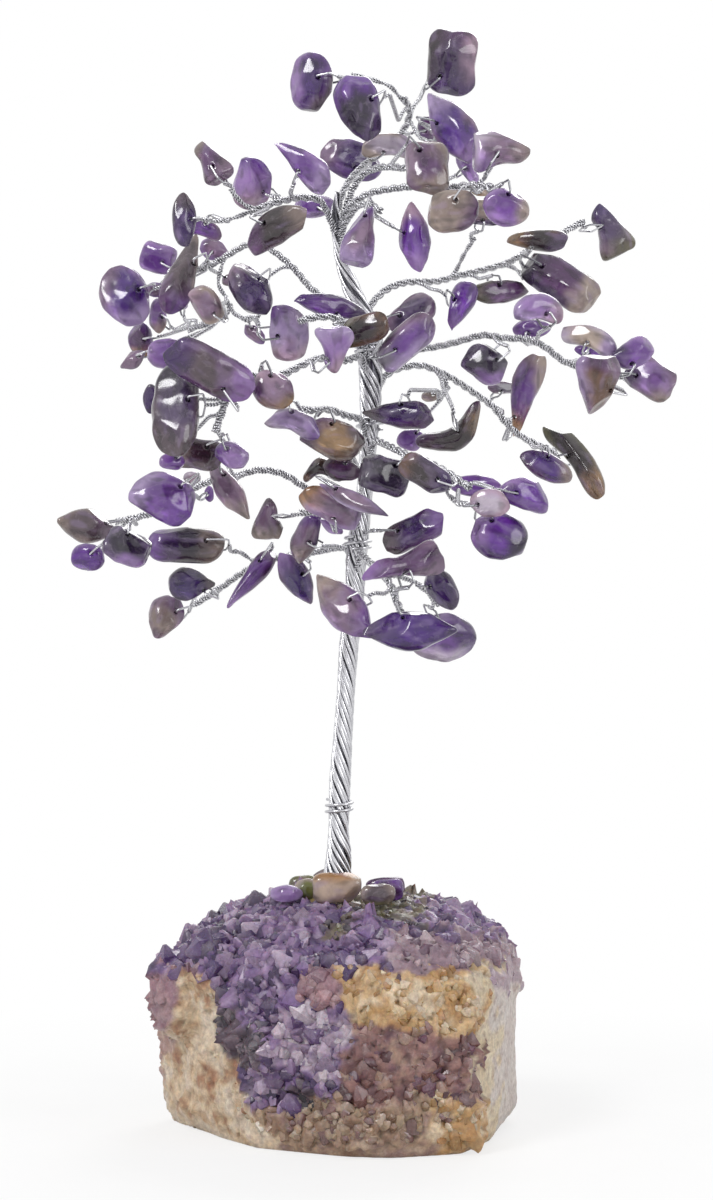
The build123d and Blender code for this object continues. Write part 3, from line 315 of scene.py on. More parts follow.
chips = [
    Chip("crown_top_left", 312, 82, -0.06, 58, 43, 95, "barrel",
         "deep violet lavender 180 smoky 40"),
    Chip("crown_top", 358, 111, -0.3, 70, 45, 85, "fang", "inky violet dusk 20 vivid 280", 0.6, -1),
    Chip("crown_top", 452, 62, 0.3, 58, 50, 95, "block", "dusk plum soot 190 pink 10 deep 80"),
    Chip("crown_top_right", 455, 130, -0.32, 92, 42, 57, "leaf",
         "royal mauve lilac 225 lavender 60", 0.7, -1),
    Chip("crown_top", 428, 130, 0.56, 28, 24, 90, "disk", "plum dusk"),
    Chip("crown_inner", 390, 146, 0.04, 58, 26, 0, "bean", "milky beige lilac 0"),
    Chip("crown_inner", 427, 168, -0.57, 46, 42, 90, "block", "plum taupe taupe 315 mauve 180"),
    Chip("crown_top", 352, 160, 0.58, 66, 44, 10, "disk", "deep violet mauve 190", 0.6),
    Chip("upper_right", 502, 151, -0.62, 55, 44, 180, "triangle",
         "mauve lavender taupe 0 milky 220"),
    Chip("upper_right", 468, 168, -0.12, 44, 18, 65, "oval", "lavender lilac"),
    Chip("upper_right", 482, 190, -0.34, 22, 13, 0, "disk", "beige tan"),
    Chip("upper_right", 451, 211, -0.76, 50, 42, 0, "disk", "taupe beige plum 20", 0.5),
    Chip("upper_right", 506, 208, -0.86, 44, 36, 15, "oval", "violet lavender beige 0"),
    Chip("upper_left", 302, 163, -0.34, 70, 32, 39, "shard", "violet lavender lilac 30", 0.8),
    Chip("upper_left", 314, 206, 0.14, 42, 25, 0, "oval", "violet lilac"),
    Chip("upper_left", 252, 183, -0.14, 48, 45, 70, "kite", "lavender lilac vivid 290 pink 90"),
    Chip("upper_left_top", 210, 160, -0.46, 46, 32, 60, "triangle",
         "plum smoky taupe 200 mauve 60", 0.74, -1),
    Chip("upper_left_out", 184, 220, -0.44, 56, 24, 90, "oval", "deep dusk smoky 270"),
    Chip("upper_left_out", 200, 228, -0.1, 44, 20, 10, "bean", "violet mauve"),
    Chip("upper_left", 276, 226, -0.56, 72, 34, -28, "half_moon",
         "soot smoky plum 160 taupe 330", 0.6),
    Chip("heart", 362, 235, -0.52, 60, 34, 285, "wedge", "mauve lilac violet 225"),
    Chip("heart", 415, 239, -0.56, 72, 31, 85, "lemon", "vivid violet pink 265 lavender 85", 0.9),
    Chip("left", 250, 290, 0.2, 62, 42, 65, "oval", "deep dusk mauve 235"),
    Chip("left_in", 288, 332, 0.2, 56, 50, 60, "kite", "lilac milky violet 235 pink 90", 0.6),
    Chip("left_in", 255, 334, 0.5, 30, 16, 40, "oval", "mauve lavender"),
    Chip("left", 214, 250, 0.66, 30, 24, 20, "disk", "mauve lavender"),
    Chip("left_low", 206, 304, 0.2, 42, 36, 30, "kite", "mauve beige pink 180"),
    Chip("left", 230, 280, 0.68, 20, 14, 0, "oval", "mauve taupe"),
    Chip("left", 183, 273, 0.4, 90, 34, -73, "spear", "smoky taupe violet 107 plum 180", 0.8, -1),
    Chip("left", 158, 258, 0.86, 36, 33, 20, "block", "violet lavender"),
    Chip("left", 125, 297, 0.62, 66, 54, 70, "oval", "royal lavender mauve 200 lilac 60", 0.6),
    Chip("left", 157, 290, 0.78, 24, 16, 0, "disk", "mauve lilac"),
    Chip("left_low", 158, 316, 0.8, 42, 20, 90, "oval", "lavender lilac peach 70"),
    Chip("left_low", 181, 305, 0.74, 14, 12, 0, "disk", "lavender lilac"),
    Chip("left_low", 141, 340, 0.88, 40, 28, 80, "oval", "plum violet tan 90"),
    Chip("left_low", 133, 360, 0.62, 34, 20, -30, "leaf", "mauve grey"),
    Chip("left_low", 168, 354, 0.32, 40, 33, 0, "disk", "violet lavender"),
    Chip("front_left", 335, 350, -0.62, 42, 40, 270, "triangle", "lavender lilac pink 45", 0.6),
    Chip("front_left", 273, 390, -0.72, 42, 37, 40, "oval", "mauve plum tan 70 pink 270"),
    Chip("front_left", 210, 370, -0.88, 88, 42, 32, "plate",
         "smoky plum lavender 25 deep 200", 0.6),
    Chip("front_left", 176, 410, -0.78, 88, 45, 90, "barrel", "dusk smoky inky 250 smoky 90", 0.8),
    Chip("front_left", 151, 400, -0.54, 30, 16, 90, "oval", "deep dusk"),
    Chip("front_left", 231, 455, -0.64, 34, 29, 0, "kite", "lavender lilac violet 180"),
    Chip("front_left", 198, 454, -0.5, 46, 31, 10, "block", "maroon smoky taupe 180", 0.6),
    Chip("front_left", 172, 462, -0.6, 24, 18, 0, "disk", "violet lavender"),
    Chip("lower_left", 229, 491, -0.36, 72, 26, 55, "leaf", "mauve pink beige 60"),
    Chip("lower_left", 164, 498, -0.3, 70, 58, 0, "kite",
         "violet lavender lilac 225 vivid 60", 0.5),
    Chip("lower_left", 192, 478, 0.2, 18, 13, 0, "disk", "pink milky"),
    Chip("lower_left", 209, 494, 0.18, 18, 11, 90, "disk", "violet lavender"),
    Chip("lower_left", 87, 526, -0.12, 58, 36, 10, "lemon", "smoky taupe mauve 0"),
    Chip("lower_left", 88, 557, 0.18, 34, 29, 0, "disk", "vivid violet"),
    Chip("lower_left", 127, 547, -0.24, 45, 35, 20, "block", "inky dusk lavender 100"),
    Chip("centre_low", 332, 508, -0.44, 66, 30, 30, "plate", "mauve lilac amber 225", 0.6),
    Chip("trunk", 353, 500, -0.62, 76, 17, 25, "leaf", "mauve lilac dusk 25", 1.1),
    Chip("centre_low", 332, 527, -0.1, 30, 13, 30, "leaf", "lavender lilac", 0.9),
    Chip("centre_low", 269, 518, -0.2, 42, 36, 90, "triangle", "mauve smoky taupe 90"),
    Chip("bottom_left", 306, 538, 0.02, 56, 27, -65, "oval", "mauve dusk violet 270 taupe 100"),
    Chip("bottom_left", 295, 576, 0.26, 66, 31, 60, "leaf", "indigo plum lavender 250"),
    Chip("bottom_left", 250, 580, 0.3, 76, 22, 130, "spear", "violet plum lavender 130", 1.0),
    Chip("bottom_left_out", 186, 546, 0.32, 78, 38, 6, "plate", "inky soot taupe 0 violet 180"),
    Chip("bottom_left", 192, 584, 0.5, 48, 36, 0, "drop", "indigo dusk smoky 0"),
    Chip("bottom_left", 164, 619, 0.84, 48, 38, 110, "drop", "taupe mauve plum 300"),
    Chip("bottom_front", 401, 565, -0.74, 80, 34, -14, "triangle", "plum mauve lavender 180", 0.7),
    Chip("bottom_right", 441, 587, -0.5, 50, 29, 57, "oval", "deep dusk grey 230"),
    Chip("bottom_front", 408, 630, -0.82, 92, 40, 0, "leaf", "royal deep dusk 180", 0.74, -1),
    Chip("bottom_right", 441, 637, -0.18, 66, 50, 10, "disk",
         "violet lilac deep 340 milky 100", 0.5),
    Chip("bottom_front", 344, 608, -0.6, 82, 40, 50, "leaf", "mauve lavender beige 235 violet 20"),
    Chip("lower_right", 384, 476, -0.42, 46, 38, 15, "block", "inky dusk grey 200"),
    Chip("lower_right", 425, 474, -0.72, 52, 28, 35, "plate", "soot dusk deep 30 brown 200"),
    Chip("lower_right", 476, 486, -0.42, 52, 22, 3, "oval", "violet lavender"),
    Chip("lower_right", 525, 492, -0.86, 50, 32, 20, "half_moon", "vivid violet lavender 250"),
    Chip("lower_right_low", 490, 503, -1.0, 36, 27, 10, "oval", "milky pink"),
    Chip("lower_right_low", 499, 536, -0.8, 52, 47, 20, "disk",
         "vivid deep inky 20 lavender 200", 0.7),
    Chip("right_mid_low", 401, 415, -0.22, 78, 28, 183, "drop", "deep plum smoky 185", 0.9, -1),
    Chip("right_mid_low", 430, 396, 0.42, 18, 14, 0, "disk", "taupe beige"),
    Chip("right_mid_low", 411, 440, 0.3, 28, 23, 0, "disk", "violet lavender"),
    Chip("right_mid", 455, 433, 0.02, 78, 33, -32, "crescent",
         "soot smoky tan 330 plum 240", 0.8, -1),
    Chip("right_mid", 525, 396, 0.6, 90, 33, -78, "shard", "violet mauve amber 110 beige 340", 0.9),
    Chip("right_mid", 503, 388, 0.82, 34, 15, 0, "oval", "grey mauve"),
    Chip("right_mid", 577, 458, 0.8, 98, 28, 55, "bean", "soot olive dusk 55 tan 20", 1.0),
    Chip("right_mid", 546, 467, 0.36, 58, 29, 25, "oval", "royal plum taupe 15"),
    Chip("right", 484, 364, -0.42, 46, 42, 0, "kite", "inky dusk grey 0 lavender 100"),
    Chip("right", 531, 329, -0.18, 38, 21, 0, "oval", "violet lavender"),
    Chip("right", 538, 308, -0.56, 46, 29, 0, "bean", "lavender lilac pink 40"),
    Chip("right", 590, 338, -0.6, 56, 25, 22, "bean", "beige milky lilac 20"),
    Chip("right", 591, 352, -0.26, 34, 14, 10, "oval", "vivid lavender"),
    Chip("right", 633, 353, -0.68, 42, 31, -10, "kite", "violet lavender deep 180", 0.74, -1),
    Chip("right", 652, 379, -0.48, 46, 36, 40, "block", "lavender mauve dusk 200 taupe 80", 0.6),
    Chip("right", 596, 386, -0.9, 54, 43, 95, "wedge", "brown mauve plum 270 lilac 175", 0.7),
    Chip("right_upper", 537, 238, 0.48, 60, 30, 18, "horn", "soot brown tan 190 dusk 20", 0.9),
    Chip("right_upper_out", 560, 281, 0.3, 80, 43, 38, "block", "plum dusk beige 40 inky 215", 0.6),
    Chip("right_upper", 498, 292, 0.34, 64, 25, -8, "oval", "plum smoky olive 180"),
    Chip("right_upper", 459, 308, 0.12, 58, 27, 115, "spear", "vivid violet lavender 115", 0.9),
    Chip("right_upper", 608, 229, 0.84, 60, 44, 65, "triangle",
         "dusk mauve olive 50 indigo 250", 0.6, -1),
    Chip("right_upper_in", 482, 213, 0.1, 44, 27, 0, "half_moon", "taupe beige deep 90"),
    Chip("centre_left", 293, 422, -0.56, 56, 25, 20, "bean", "lilac milky violet 20"),
    Chip("centre_left", 332, 439, -0.45, 60, 44, 0, "kite", "tan taupe plum 220 smoky 330"),
    Chip("trunk", 321, 469, -0.24, 36, 24, 0, "crescent", "soot brown", 0.9),
    Chip("trunk", 342, 470, -0.34, 38, 25, 18, "oval", "plum smoky mauve 20", 0.5),
    Chip("centre_front", 330, 306, -0.22, 80, 24, 10, "leaf", "violet deep vivid 190 dusk 10", 0.9),
    Chip("centre_front", 364, 330, -0.46, 48, 30, -10, "plate", "soot brown olive 180", 0.7),
    Chip("trunk", 412, 316, 0.14, 54, 34, -40, "plate", "dusk mauve", 0.7),
    Chip("trunk", 407, 342, -0.4, 68, 34, -40, "plate", "violet mauve grey 140 lilac 50", 0.7),
    Chip("trunk", 416, 531, -0.34, 66, 31, -22, "plate", "deep plum smoky 170 violet 340", 0.8),
]


def limb_of(wire):
    """The limb that a wire belongs to, which is the one that leaves the trunk."""
    while wire != "trunk" and routes[wire].parent != "trunk":
        wire = routes[wire].parent
    return wire


def body_name(limb):
    return limb if limb in frame["bodies"] else "root"


class Body(NamedTuple):
    """A chip's middle, its long, wide and thick directions, and half its sizes."""
    middle: np.ndarray
    along: np.ndarray
    across: np.ndarray
    through: np.ndarray
    half_long: float
    half_wide: float
    half_thick: float


def chip_body(chip, middle, lean, roll):
    """The chip's frame: turned as seen from the front, leant back and rolled."""
    turn = radians(-chip.clock)
    seen_along = np.array([cos(turn), 0, sin(turn)])
    seen_across = np.array([-sin(turn), 0, cos(turn)])
    front = np.array([0, -1, 0])
    along = seen_along * cos(lean) + front * sin(lean)
    through = front * cos(lean) - seen_along * sin(lean)
    across = seen_across * cos(roll) + through * sin(roll)
    through = through * cos(roll) - seen_across * sin(roll)
    half_wide = chip_length * chip.wide_px / chip_px / 2
    half_long = chip_length * chip.long_px / chip_px / 2 / cos(lean)
    return Body(middle, along, across * chip.side, through, half_long, half_wide,
                half_wide * chip.thick_share)


def chip_bodies():
    """Every chip's frame; the golden turn spreads their leans and rolls."""
    bodies = []
    for index, chip in enumerate(chips):
        turn = radians(golden_turn * index)
        lean, roll = radians(lean_most * sin(turn)), radians(roll_most * cos(turn))
        bodies.append(chip_body(chip, at(chip.x_px, chip.y_px, chip.depth_share), lean, roll))
    return bodies


def edge_middle(chip, place):
    """Middle between the chip's two edges at a place along it, as a share of its half width."""
    stations = outline_shares[chip.outline]
    places = [station[0] for station in stations]
    return np.interp(place, places, [(upper + lower) / 2 for _, upper, lower in stations])


def chip_loop(chip, body, source):
    """Where the wire reaches the chip, from which side, and the corners of its loop."""
    outward = source - body.middle
    outward = unit(outward - body.through * outward.dot(body.through))
    long_part = abs(outward.dot(body.along)) / body.half_long
    wide_part = abs(outward.dot(body.across)) / body.half_wide
    reach = (long_part ** corner_power + wide_part ** corner_power) ** (-1 / corner_power)
    centre = edge_middle(chip, hole_share * outward.dot(body.along) * reach / body.half_long)
    hole = body.middle + outward * (hole_share * reach) + body.across * (centre * body.half_wide)
    rim = reach * (1 - hole_share)
    stem = hole + outward * (rim + loop_reach)
    edge = hole + outward * (rim + loop_gap + wire_radius)
    rise = body.through * (body.half_thick * front_share + loop_gap + wire_radius)
    apart = body.through * (wire_radius + wire_gap / 4)
    corners = [stem + apart, edge + rise, hole + rise, hole - rise, edge - rise, stem - apart]
    return stem, outward, corners


# Lines that wires follow
def lengths_along(line):
    """How far along a line each of its points lies."""
    return np.concatenate([[0], np.cumsum(np.linalg.norm(np.diff(line, axis=0), axis=1))])


def tangents_of(line):
    steps = np.gradient(line, axis=0)
    return steps / np.linalg.norm(steps, axis=1)[:, None]


def frames_of(line):
    """Two directions square to a line, carried along it without twist."""
    tangents = tangents_of(line)
    normals = [unit(np.cross(tangents[0], [0.3, 0.5, 0.8]))]
    for tangent in tangents[1:]:
        normals.append(unit(normals[-1] - tangent * normals[-1].dot(tangent)))
    normals = np.array(normals)
    return normals, np.cross(tangents, normals)


def around(normals, binormals, angles):
    """Directions at angles round a line."""
    return normals * np.cos(angles)[:, None] + binormals * np.sin(angles)[:, None]


def bent(points, radii):
    """Straight runs joined by tangent arcs, as points an even step apart."""
    line = [points[0]]
    for before, corner, after, radius in zip(points, points[1:], points[2:], radii):
        back, ahead = unit(before - corner), unit(after - corner)
        turn = radians(turn_between(-back, ahead))
        reach = radius * tan(turn / 2)
        centre = corner + unit(back + ahead) * radius / cos(turn / 2)
        first, last = corner + back * reach - centre, corner + ahead * reach - centre
        for share in np.linspace(0, 1, arc_steps):
            arc = first * sin((1 - share) * turn) + last * sin(share * turn)
            line.append(centre + arc / sin(turn))
    line = np.array(line + [points[-1]])
    lengths = lengths_along(line)
    places = np.linspace(0, lengths[-1], max(ceil(lengths[-1] / line_spacing), 3) + 1)
    return np.stack([np.interp(places, lengths, line[:, axis]) for axis in range(3)], axis=1)


def full_radii(points):
    """Each corner's arc is as large as its two runs allow."""
    radii = []
    for before, corner, after in zip(points, points[1:], points[2:]):
        turn = radians(turn_between(corner - before, after - corner))
        shorter = min(np.linalg.norm(corner - before), np.linalg.norm(after - corner))
        radii.append(bend_share * shorter / tan(turn / 2))
    return radii


def trunk_start(y_px, target, radius):
    """Where a wire starts beside the trunk, and on which side."""
    middle, trunk_width = trunk_at(y_px)
    side = target - middle
    side = unit(np.array([side[0], side[1], 0]))
    return middle + side * (trunk_width + radius + root_gap), side


def leave_points(line, parent_radius, targets):
    """For each target a start beside the parent wire, its side, and its root in that wire."""
    tangents = tangents_of(line)
    lengths = lengths_along(line)
    stations = [lengths[np.linalg.norm(line - target, axis=1).argmin()] for target in targets]
    limit = lengths[-1]
    starts = [None] * len(targets)
    for index in sorted(range(len(targets)), key=lambda index: -stations[index]):
        station = max(min(stations[index], limit), 0.0)
        limit = station - pair_spacing
        nearest = np.abs(lengths - station).argmin()
        point, tangent = line[nearest], tangents[nearest]
        side = targets[index] - point
        side = unit(side - tangent * side.dot(tangent))
        start = point + side * (parent_radius + branch_radius + wire_gap)
        starts[index] = start, side, point - tangent * pair_spacing
    return starts


def eased(points):
    """The route without the points that would bend the wire too tightly or not at all."""
    kept = [points[0]]
    for place, following in zip(points[1:], points[2:]):
        turn = turn_between(place - kept[-1], following - place)
        runs = np.linalg.norm(place - kept[-1]), np.linalg.norm(following - place)
        if min(runs) > least_run and least_turn < turn < most_turn:
            kept.append(place)
    return kept + [points[-1]]


# Pieces
def added(name, data):
    """A new object with this data, in the scene."""
    thing = bpy.data.objects.new(name, data)
    bpy.context.scene.collection.objects.link(thing)
    return thing


def mesh_piece(name, points, faces, material, smooth=True):
    mesh = bpy.data.meshes.new(name)
    mesh.from_pydata(points.tolist(), [], faces)
    mesh.polygons.foreach_set("use_smooth", [smooth] * len(mesh.polygons))
    mesh.materials.append(material)
    return added(name, mesh)


def spread_tone(piece, values):
    """Stores a colour at each vertex for the materials to read."""
    attribute = piece.data.attributes.new("tone", "FLOAT_COLOR", "POINT")
    colours = np.ones((len(values), 4), np.float32)
    colours[:, :3] = np.clip(values, 0, 1)
    attribute.data.foreach_set("color", colours.ravel())


class Shape:
    """Vertices and faces gathered from many tubes or crystals."""

    def __init__(self):
        self.points, self.faces, self.painted_light = [], [], []
        self.count = 0

    def add(self, points, faces):
        self.points.append(np.asarray(points, float))
        self.faces += [tuple(index + self.count for index in face) for face in faces]
        self.count += len(points)

    def tube(self, line, radius, outward, sides=6):
        """A closed tube along a line; outward is the way it faces, where its painted highlight is
        brightest.
        """
        tangents = tangents_of(line)
        first = outward - tangents * np.sum(outward * tangents, axis=1)[:, None]
        first /= np.linalg.norm(first, axis=1)[:, None]
        second = np.cross(tangents, first)
        radius = np.broadcast_to(radius, len(line))[:, None]
        rings, painted_light = [], []
        for side in range(sides):
            angle = 2 * pi * side / sides
            rings.append(line + radius * (first * cos(angle) + second * sin(angle)))
            # Painted light: full on the outward side of each strand, none on its inward side, where
            # shade falls.
            painted_light.append(0.5 + 0.5 * cos(angle))
        self.painted_light += painted_light * len(line)
        faces = []
        for low in range(0, (len(line) - 1) * sides, sides):
            for side in range(sides):
                other = (side + 1) % sides
                faces.append((low + side, low + other, low + sides + other, low + sides + side))
        last = (len(line) - 1) * sides
        faces += [tuple(range(sides))[::-1], tuple(range(last, last + sides))]
        self.add(np.stack(rings, axis=1).reshape(-1, 3), faces)

    def pair(self, line, strand_radius=wire_radius, end_side=None):
        """A twisted pair of strands along a line."""
        normals, binormals = frames_of(line)
        lengths = lengths_along(line)
        phase = 0.0
        if end_side is not None:
            phase = atan2(end_side.dot(binormals[-1]), end_side.dot(normals[-1]))
        angles = phase + 2 * pi * (lengths - lengths[-1]) / pair_pitch
        for turn in (0, pi):
            outward = around(normals, binormals, angles + turn)
            self.tube(line + outward * strand_radius, strand_radius, outward)

    def rope(self, line, radius, pairs, strand_radius):
        """Twisted pairs laid round each other."""
        normals, binormals = frames_of(line)
        lengths = lengths_along(line)
        for index in range(pairs):
            outward = around(normals, binormals, 2 * pi * (lengths / rope_pitch + index / pairs))
            self.pair(line + outward * (radius - 2 * strand_radius), strand_radius)

    def strands(self, name, material):
        """A piece of bright wire with painted light: painted shade where its strands lie against
        each other and a painted highlight where they face out.
        """
        piece = self.build(name, material)
        # Painted shade in the grooves between the strands, blending into a painted highlight where
        # they face out.
        painted_light = np.array(self.painted_light)[:, None] ** groove_shade_power
        spread_tone(piece, linear("groove_shade") * (1 - painted_light) + linear("strand") * painted_light)
        return piece

    def build(self, name, material, smooth=True):
        return mesh_piece(name, np.concatenate(self.points), self.faces, material, smooth)


# Materials
def new_material(name):
    material = bpy.data.materials.new(name)
    material.use_nodes = True
    tree = material.node_tree
    return material, tree, tree.nodes["Principled BSDF"]


def add_node(tree, kind, **values):
    node = tree.nodes.new(kind)
    for key, value in values.items():
        setattr(node, key, value)
    return node


def set_inputs(node, values):
    for socket, value in values.items():
        node.inputs[socket].default_value = value


def noise_of(tree, scale, detail=4.0, roughness=0.55, distortion=0.0):
    """Noise over the object's own coordinates."""
    node = add_node(tree, "ShaderNodeTexNoise")
    set_inputs(node, {"Scale": scale, "Detail": detail, "Roughness": roughness,
                      "Distortion": distortion})
    coordinates = add_node(tree, "ShaderNodeTexCoord")
    tree.links.new(coordinates.outputs["Object"], node.inputs["Vector"])
    return node.outputs["Fac"]


def ramp_of(tree, source, low, high):
    """Maps a value to a grey between two stops, each a place and its grey."""
    node = add_node(tree, "ShaderNodeValToRGB")
    for element, (place, grey) in zip(node.color_ramp.elements, (low, high)):
        element.position = place
        element.color = (grey, grey, grey, 1)
    tree.links.new(source, node.inputs["Fac"])
    return node.outputs["Color"]


def patchy(tree, low, high, *noise_values):
    """A grey that follows noise from one stop to the other."""
    return ramp_of(tree, noise_of(tree, *noise_values), low, high)


def mixed(tree, factor, first, second, blend="MIX"):
    """Two colours mixed; each is a socket or the name of a tone."""
    node = add_node(tree, "ShaderNodeMix", data_type="RGBA", blend_type=blend)
    sockets = {item.identifier: item for item in node.inputs}
    tree.links.new(factor, sockets["Factor_Float"])
    for value, name in ((first, "A_Color"), (second, "B_Color")):
        if isinstance(value, str):
            sockets[name].default_value = (*linear(value), 1)
        else:
            tree.links.new(value, sockets[name])
    return next(item for item in node.outputs if item.identifier == "Result_Color")


def painted(tree):
    """The tone that spread_tone stored."""
    return add_node(tree, "ShaderNodeAttribute", attribute_name="tone").outputs["Color"]


def finish_shader(tree, shader, tone, rough, relief, strength, depth):
    """Joins a colour, a roughness and a fine relief to the shader."""
    tree.links.new(tone, shader.inputs["Base Color"])
    tree.links.new(rough, shader.inputs["Roughness"])
    bump = add_node(tree, "ShaderNodeBump")
    set_inputs(bump, {"Strength": strength, "Distance": depth})
    tree.links.new(relief, bump.inputs["Height"])
    tree.links.new(bump.outputs["Normal"], shader.inputs["Normal"])


def wire_material(name, shaded):
    """Silver-coloured wire; the shaded one reads the strands' painted shade."""
    material, tree, shader = new_material(name)
    set_inputs(shader, {"Metallic": 1.0})
    dull = patchy(tree, (0.4, 0.0), (0.75, 0.35), 700.0)
    tone = mixed(tree, dull, painted(tree) if shaded else "wire", "dull_wire")
    rough = patchy(tree, (0.3, 0.16), (0.75, 0.34), 1500.0)
    finish_shader(tree, shader, tone, rough, noise_of(tree, 4200.0), 0.1, 0.03 * mm)
    return material


def chip_material():
    """Polished quartz: the painted tones with milky veils, darker clouds and fine specks."""
    material, tree, shader = new_material("amethyst_chips")
    clouds = patchy(tree, (0.42, 0.0), (0.7, 0.4), 330.0, 3.0, 0.5, 0.6)
    tone = mixed(tree, clouds, painted(tree), "cloud", "MULTIPLY")
    veils = patchy(tree, (0.54, 0.0), (0.76, 0.2), 620.0, 5.0, 0.62, 1.4)
    tone = mixed(tree, veils, tone, "milky")
    specks = patchy(tree, (0.66, 0.0), (0.78, 0.35), 2600.0, 2.0)
    tone = mixed(tree, specks, tone, "soot")
    rough = patchy(tree, (0.3, 0.08), (0.8, 0.26), 800.0)
    set_inputs(shader, {"IOR": 1.54, "Transmission Weight": 0.3, "Coat Weight": 0.35,
                        "Coat Roughness": 0.05})
    finish_shader(tree, shader, tone, rough, noise_of(tree, 1500.0, 3.0), 0.06, 0.1 * mm)
    return material


def rock_material(name, least_rough, most_rough, relief_strength, transmission):
    """Raw quartz: the painted tones with dark grain and pale frost."""
    material, tree, shader = new_material(name)
    grain = patchy(tree, (0.35, 0.0), (0.7, 0.5), 1400.0, 5.0, 0.65)
    tone = mixed(tree, grain, painted(tree), "grain", "MULTIPLY")
    frost = patchy(tree, (0.56, 0.0), (0.78, 0.28), 700.0, 6.0, 0.7, 0.8)
    tone = mixed(tree, frost, tone, "frost")
    rough = patchy(tree, (0.3, least_rough), (0.75, most_rough), 500.0)
    set_inputs(shader, {"IOR": 1.54, "Transmission Weight": transmission,
                        "Subsurface Weight": 0.15, "Subsurface Scale": 1.2 * mm})
    relief = noise_of(tree, 1700.0, 6.0, 0.7)
    finish_shader(tree, shader, tone, rough, relief, relief_strength, 0.4 * mm)
    return material


def glue_material():
    """Dried glue, yellowish and mossy."""
    material, tree, shader = new_material("clear_glue")
    moss = patchy(tree, (0.45, 0.0), (0.62, 1.0), 420.0, 5.0, 0.6, 1.0)
    rough = patchy(tree, (0.3, 0.12), (0.8, 0.4), 900.0)
    finish_shader(tree, shader, mixed(tree, moss, "glue", "moss"), rough,
                  noise_of(tree, 1100.0), 0.5, 0.4 * mm)
    return material


# Shapes laid on the solids
def smooth_noise(points, scale, seed):
    shift = Vector((seed * 1.7, seed * 0.9, seed * 2.3))
    return np.array([noise.noise(Vector(point) * scale + shift) for point in points])


def ramp(values, low, high):
    """A smooth step from 0 at the low value to 1 at the high one."""
    share = np.clip((values - low) / (high - low), 0, 1)
    return share * share * (3 - 2 * share)


def loose_solids(node):
    """The separate solids of a CAD node, as (vertices, faces)."""
    mesh = bmesh.new()
    mesh.from_mesh(frame["nodes"][node].data)
    bmesh.ops.remove_doubles(mesh, verts=mesh.verts, dist=0.002 * mm)
    mesh.verts.ensure_lookup_table()
    left = set(mesh.verts)
    found = []
    while left:
        start = left.pop()
        island, front = [start], [start]
        while front:
            near = [edge.other_vert(vert) for vert in front for edge in vert.link_edges]
            front = [vert for vert in dict.fromkeys(near) if vert in left]
            left.difference_update(front)
            island += front
        order = {vert: index for index, vert in enumerate(island)}
        faces = {face for vert in island for face in vert.link_faces}
        faces = sorted(faces, key=lambda face: face.index)
        found.append((np.array([vert.co for vert in island]),
                      [tuple(order[vert] for vert in face.verts) for face in faces]))
    mesh.free()
    return found


def take_nearest(solids, middle):
    """Takes the solid that lies nearest to a place out of the list."""
    gaps = [np.linalg.norm((points.min(0) + points.max(0)) / 2 - middle) for points, _ in solids]
    return solids.pop(int(np.argmin(gaps)))


def remeshed(points, faces, voxel):
    """An even mesh over a closed shape, as (vertices, faces)."""
    source = bpy.data.meshes.new("source")
    source.from_pydata(points.tolist(), [], faces)
    holder = added("source", source)
    modifier = holder.modifiers.new("even", "REMESH")
    modifier.mode = "VOXEL"
    modifier.voxel_size = voxel
    evaluated = holder.evaluated_get(bpy.context.evaluated_depsgraph_get())
    mesh = evaluated.to_mesh()
    even = np.empty(len(mesh.vertices) * 3)
    mesh.vertices.foreach_get("co", even)
    corners = [tuple(face.vertices) for face in mesh.polygons]
    evaluated.to_mesh_clear()
    bpy.data.objects.remove(holder)
    bpy.data.meshes.remove(source)
    return even.reshape(-1, 3), corners


def edges_of(faces):
    pairs = {tuple(sorted(pair)) for face in faces for pair in zip(face, face[1:] + face[:1])}
    return np.array(sorted(pairs))


def relaxed(points, edges, rounds):
    """Moves each vertex halfway to the middle of its neighbours, round after round."""
    first, second = edges[:, 0], edges[:, 1]
    count = np.bincount(edges.ravel(), minlength=len(points))[:, None]
    for _ in range(rounds):
        total = np.zeros_like(points)
        for axis in range(3):
            total[:, axis] += np.bincount(first, points[second, axis], len(points))
            total[:, axis] += np.bincount(second, points[first, axis], len(points))
        points = points + (total / count - points) * 0.5
    return points


# Chips: remeshed, faceted, worn smooth and painted
chip_voxel = 0.24 * mm
worn_rounds = 4
polish_rounds = 2
facet_count = 9
facet_wear = 0.9
facet_along = 0.45
facet_across = 0.6
facet_through = (0.4, 1.0)
facet_depths = (0.74, 0.93)
chip_swell = 0.22 * mm
swell_scale = 420.0
cloud_scale = 380.0
streak_scale = 900.0
streak_stretch = 0.35
rim_cloud = 0.22
rim_range = (0.5, 1.05)
end_cloud = 0.3
end_range = (0.15, 0.85)
end_strength = 0.92
dark_range = (0.12, 0.5)
dark_strength = 0.4
light_range = (0.18, 0.55)
light_strength = 0.22


def chip_mesh(body, points, faces, seed):
    """The chip's solid as a tumbled stone: flats with worn edges and gentle hollows."""
    random = Random(seed)
    points, faces = remeshed(points, faces, chip_voxel)
    edges = edges_of(faces)
    local = relaxed(points, edges, worn_rounds) - body.middle
    for _ in range(facet_count):
        direction = unit(
            body.along * random.gauss(0, facet_along)
            + body.across * random.gauss(0, facet_across)
            + body.through * random.choice((-1, 1)) * random.uniform(*facet_through))
        depth = (local @ direction).max() * random.uniform(*facet_depths)
        over = np.maximum(local @ direction - depth, 0)
        local = local - np.outer(over * facet_wear, direction)
    radial = local / np.linalg.norm(local, axis=1)[:, None]
    swell = smooth_noise(local, swell_scale, seed) * chip_swell
    return relaxed(local + radial * swell[:, None], edges, polish_rounds) + body.middle, faces


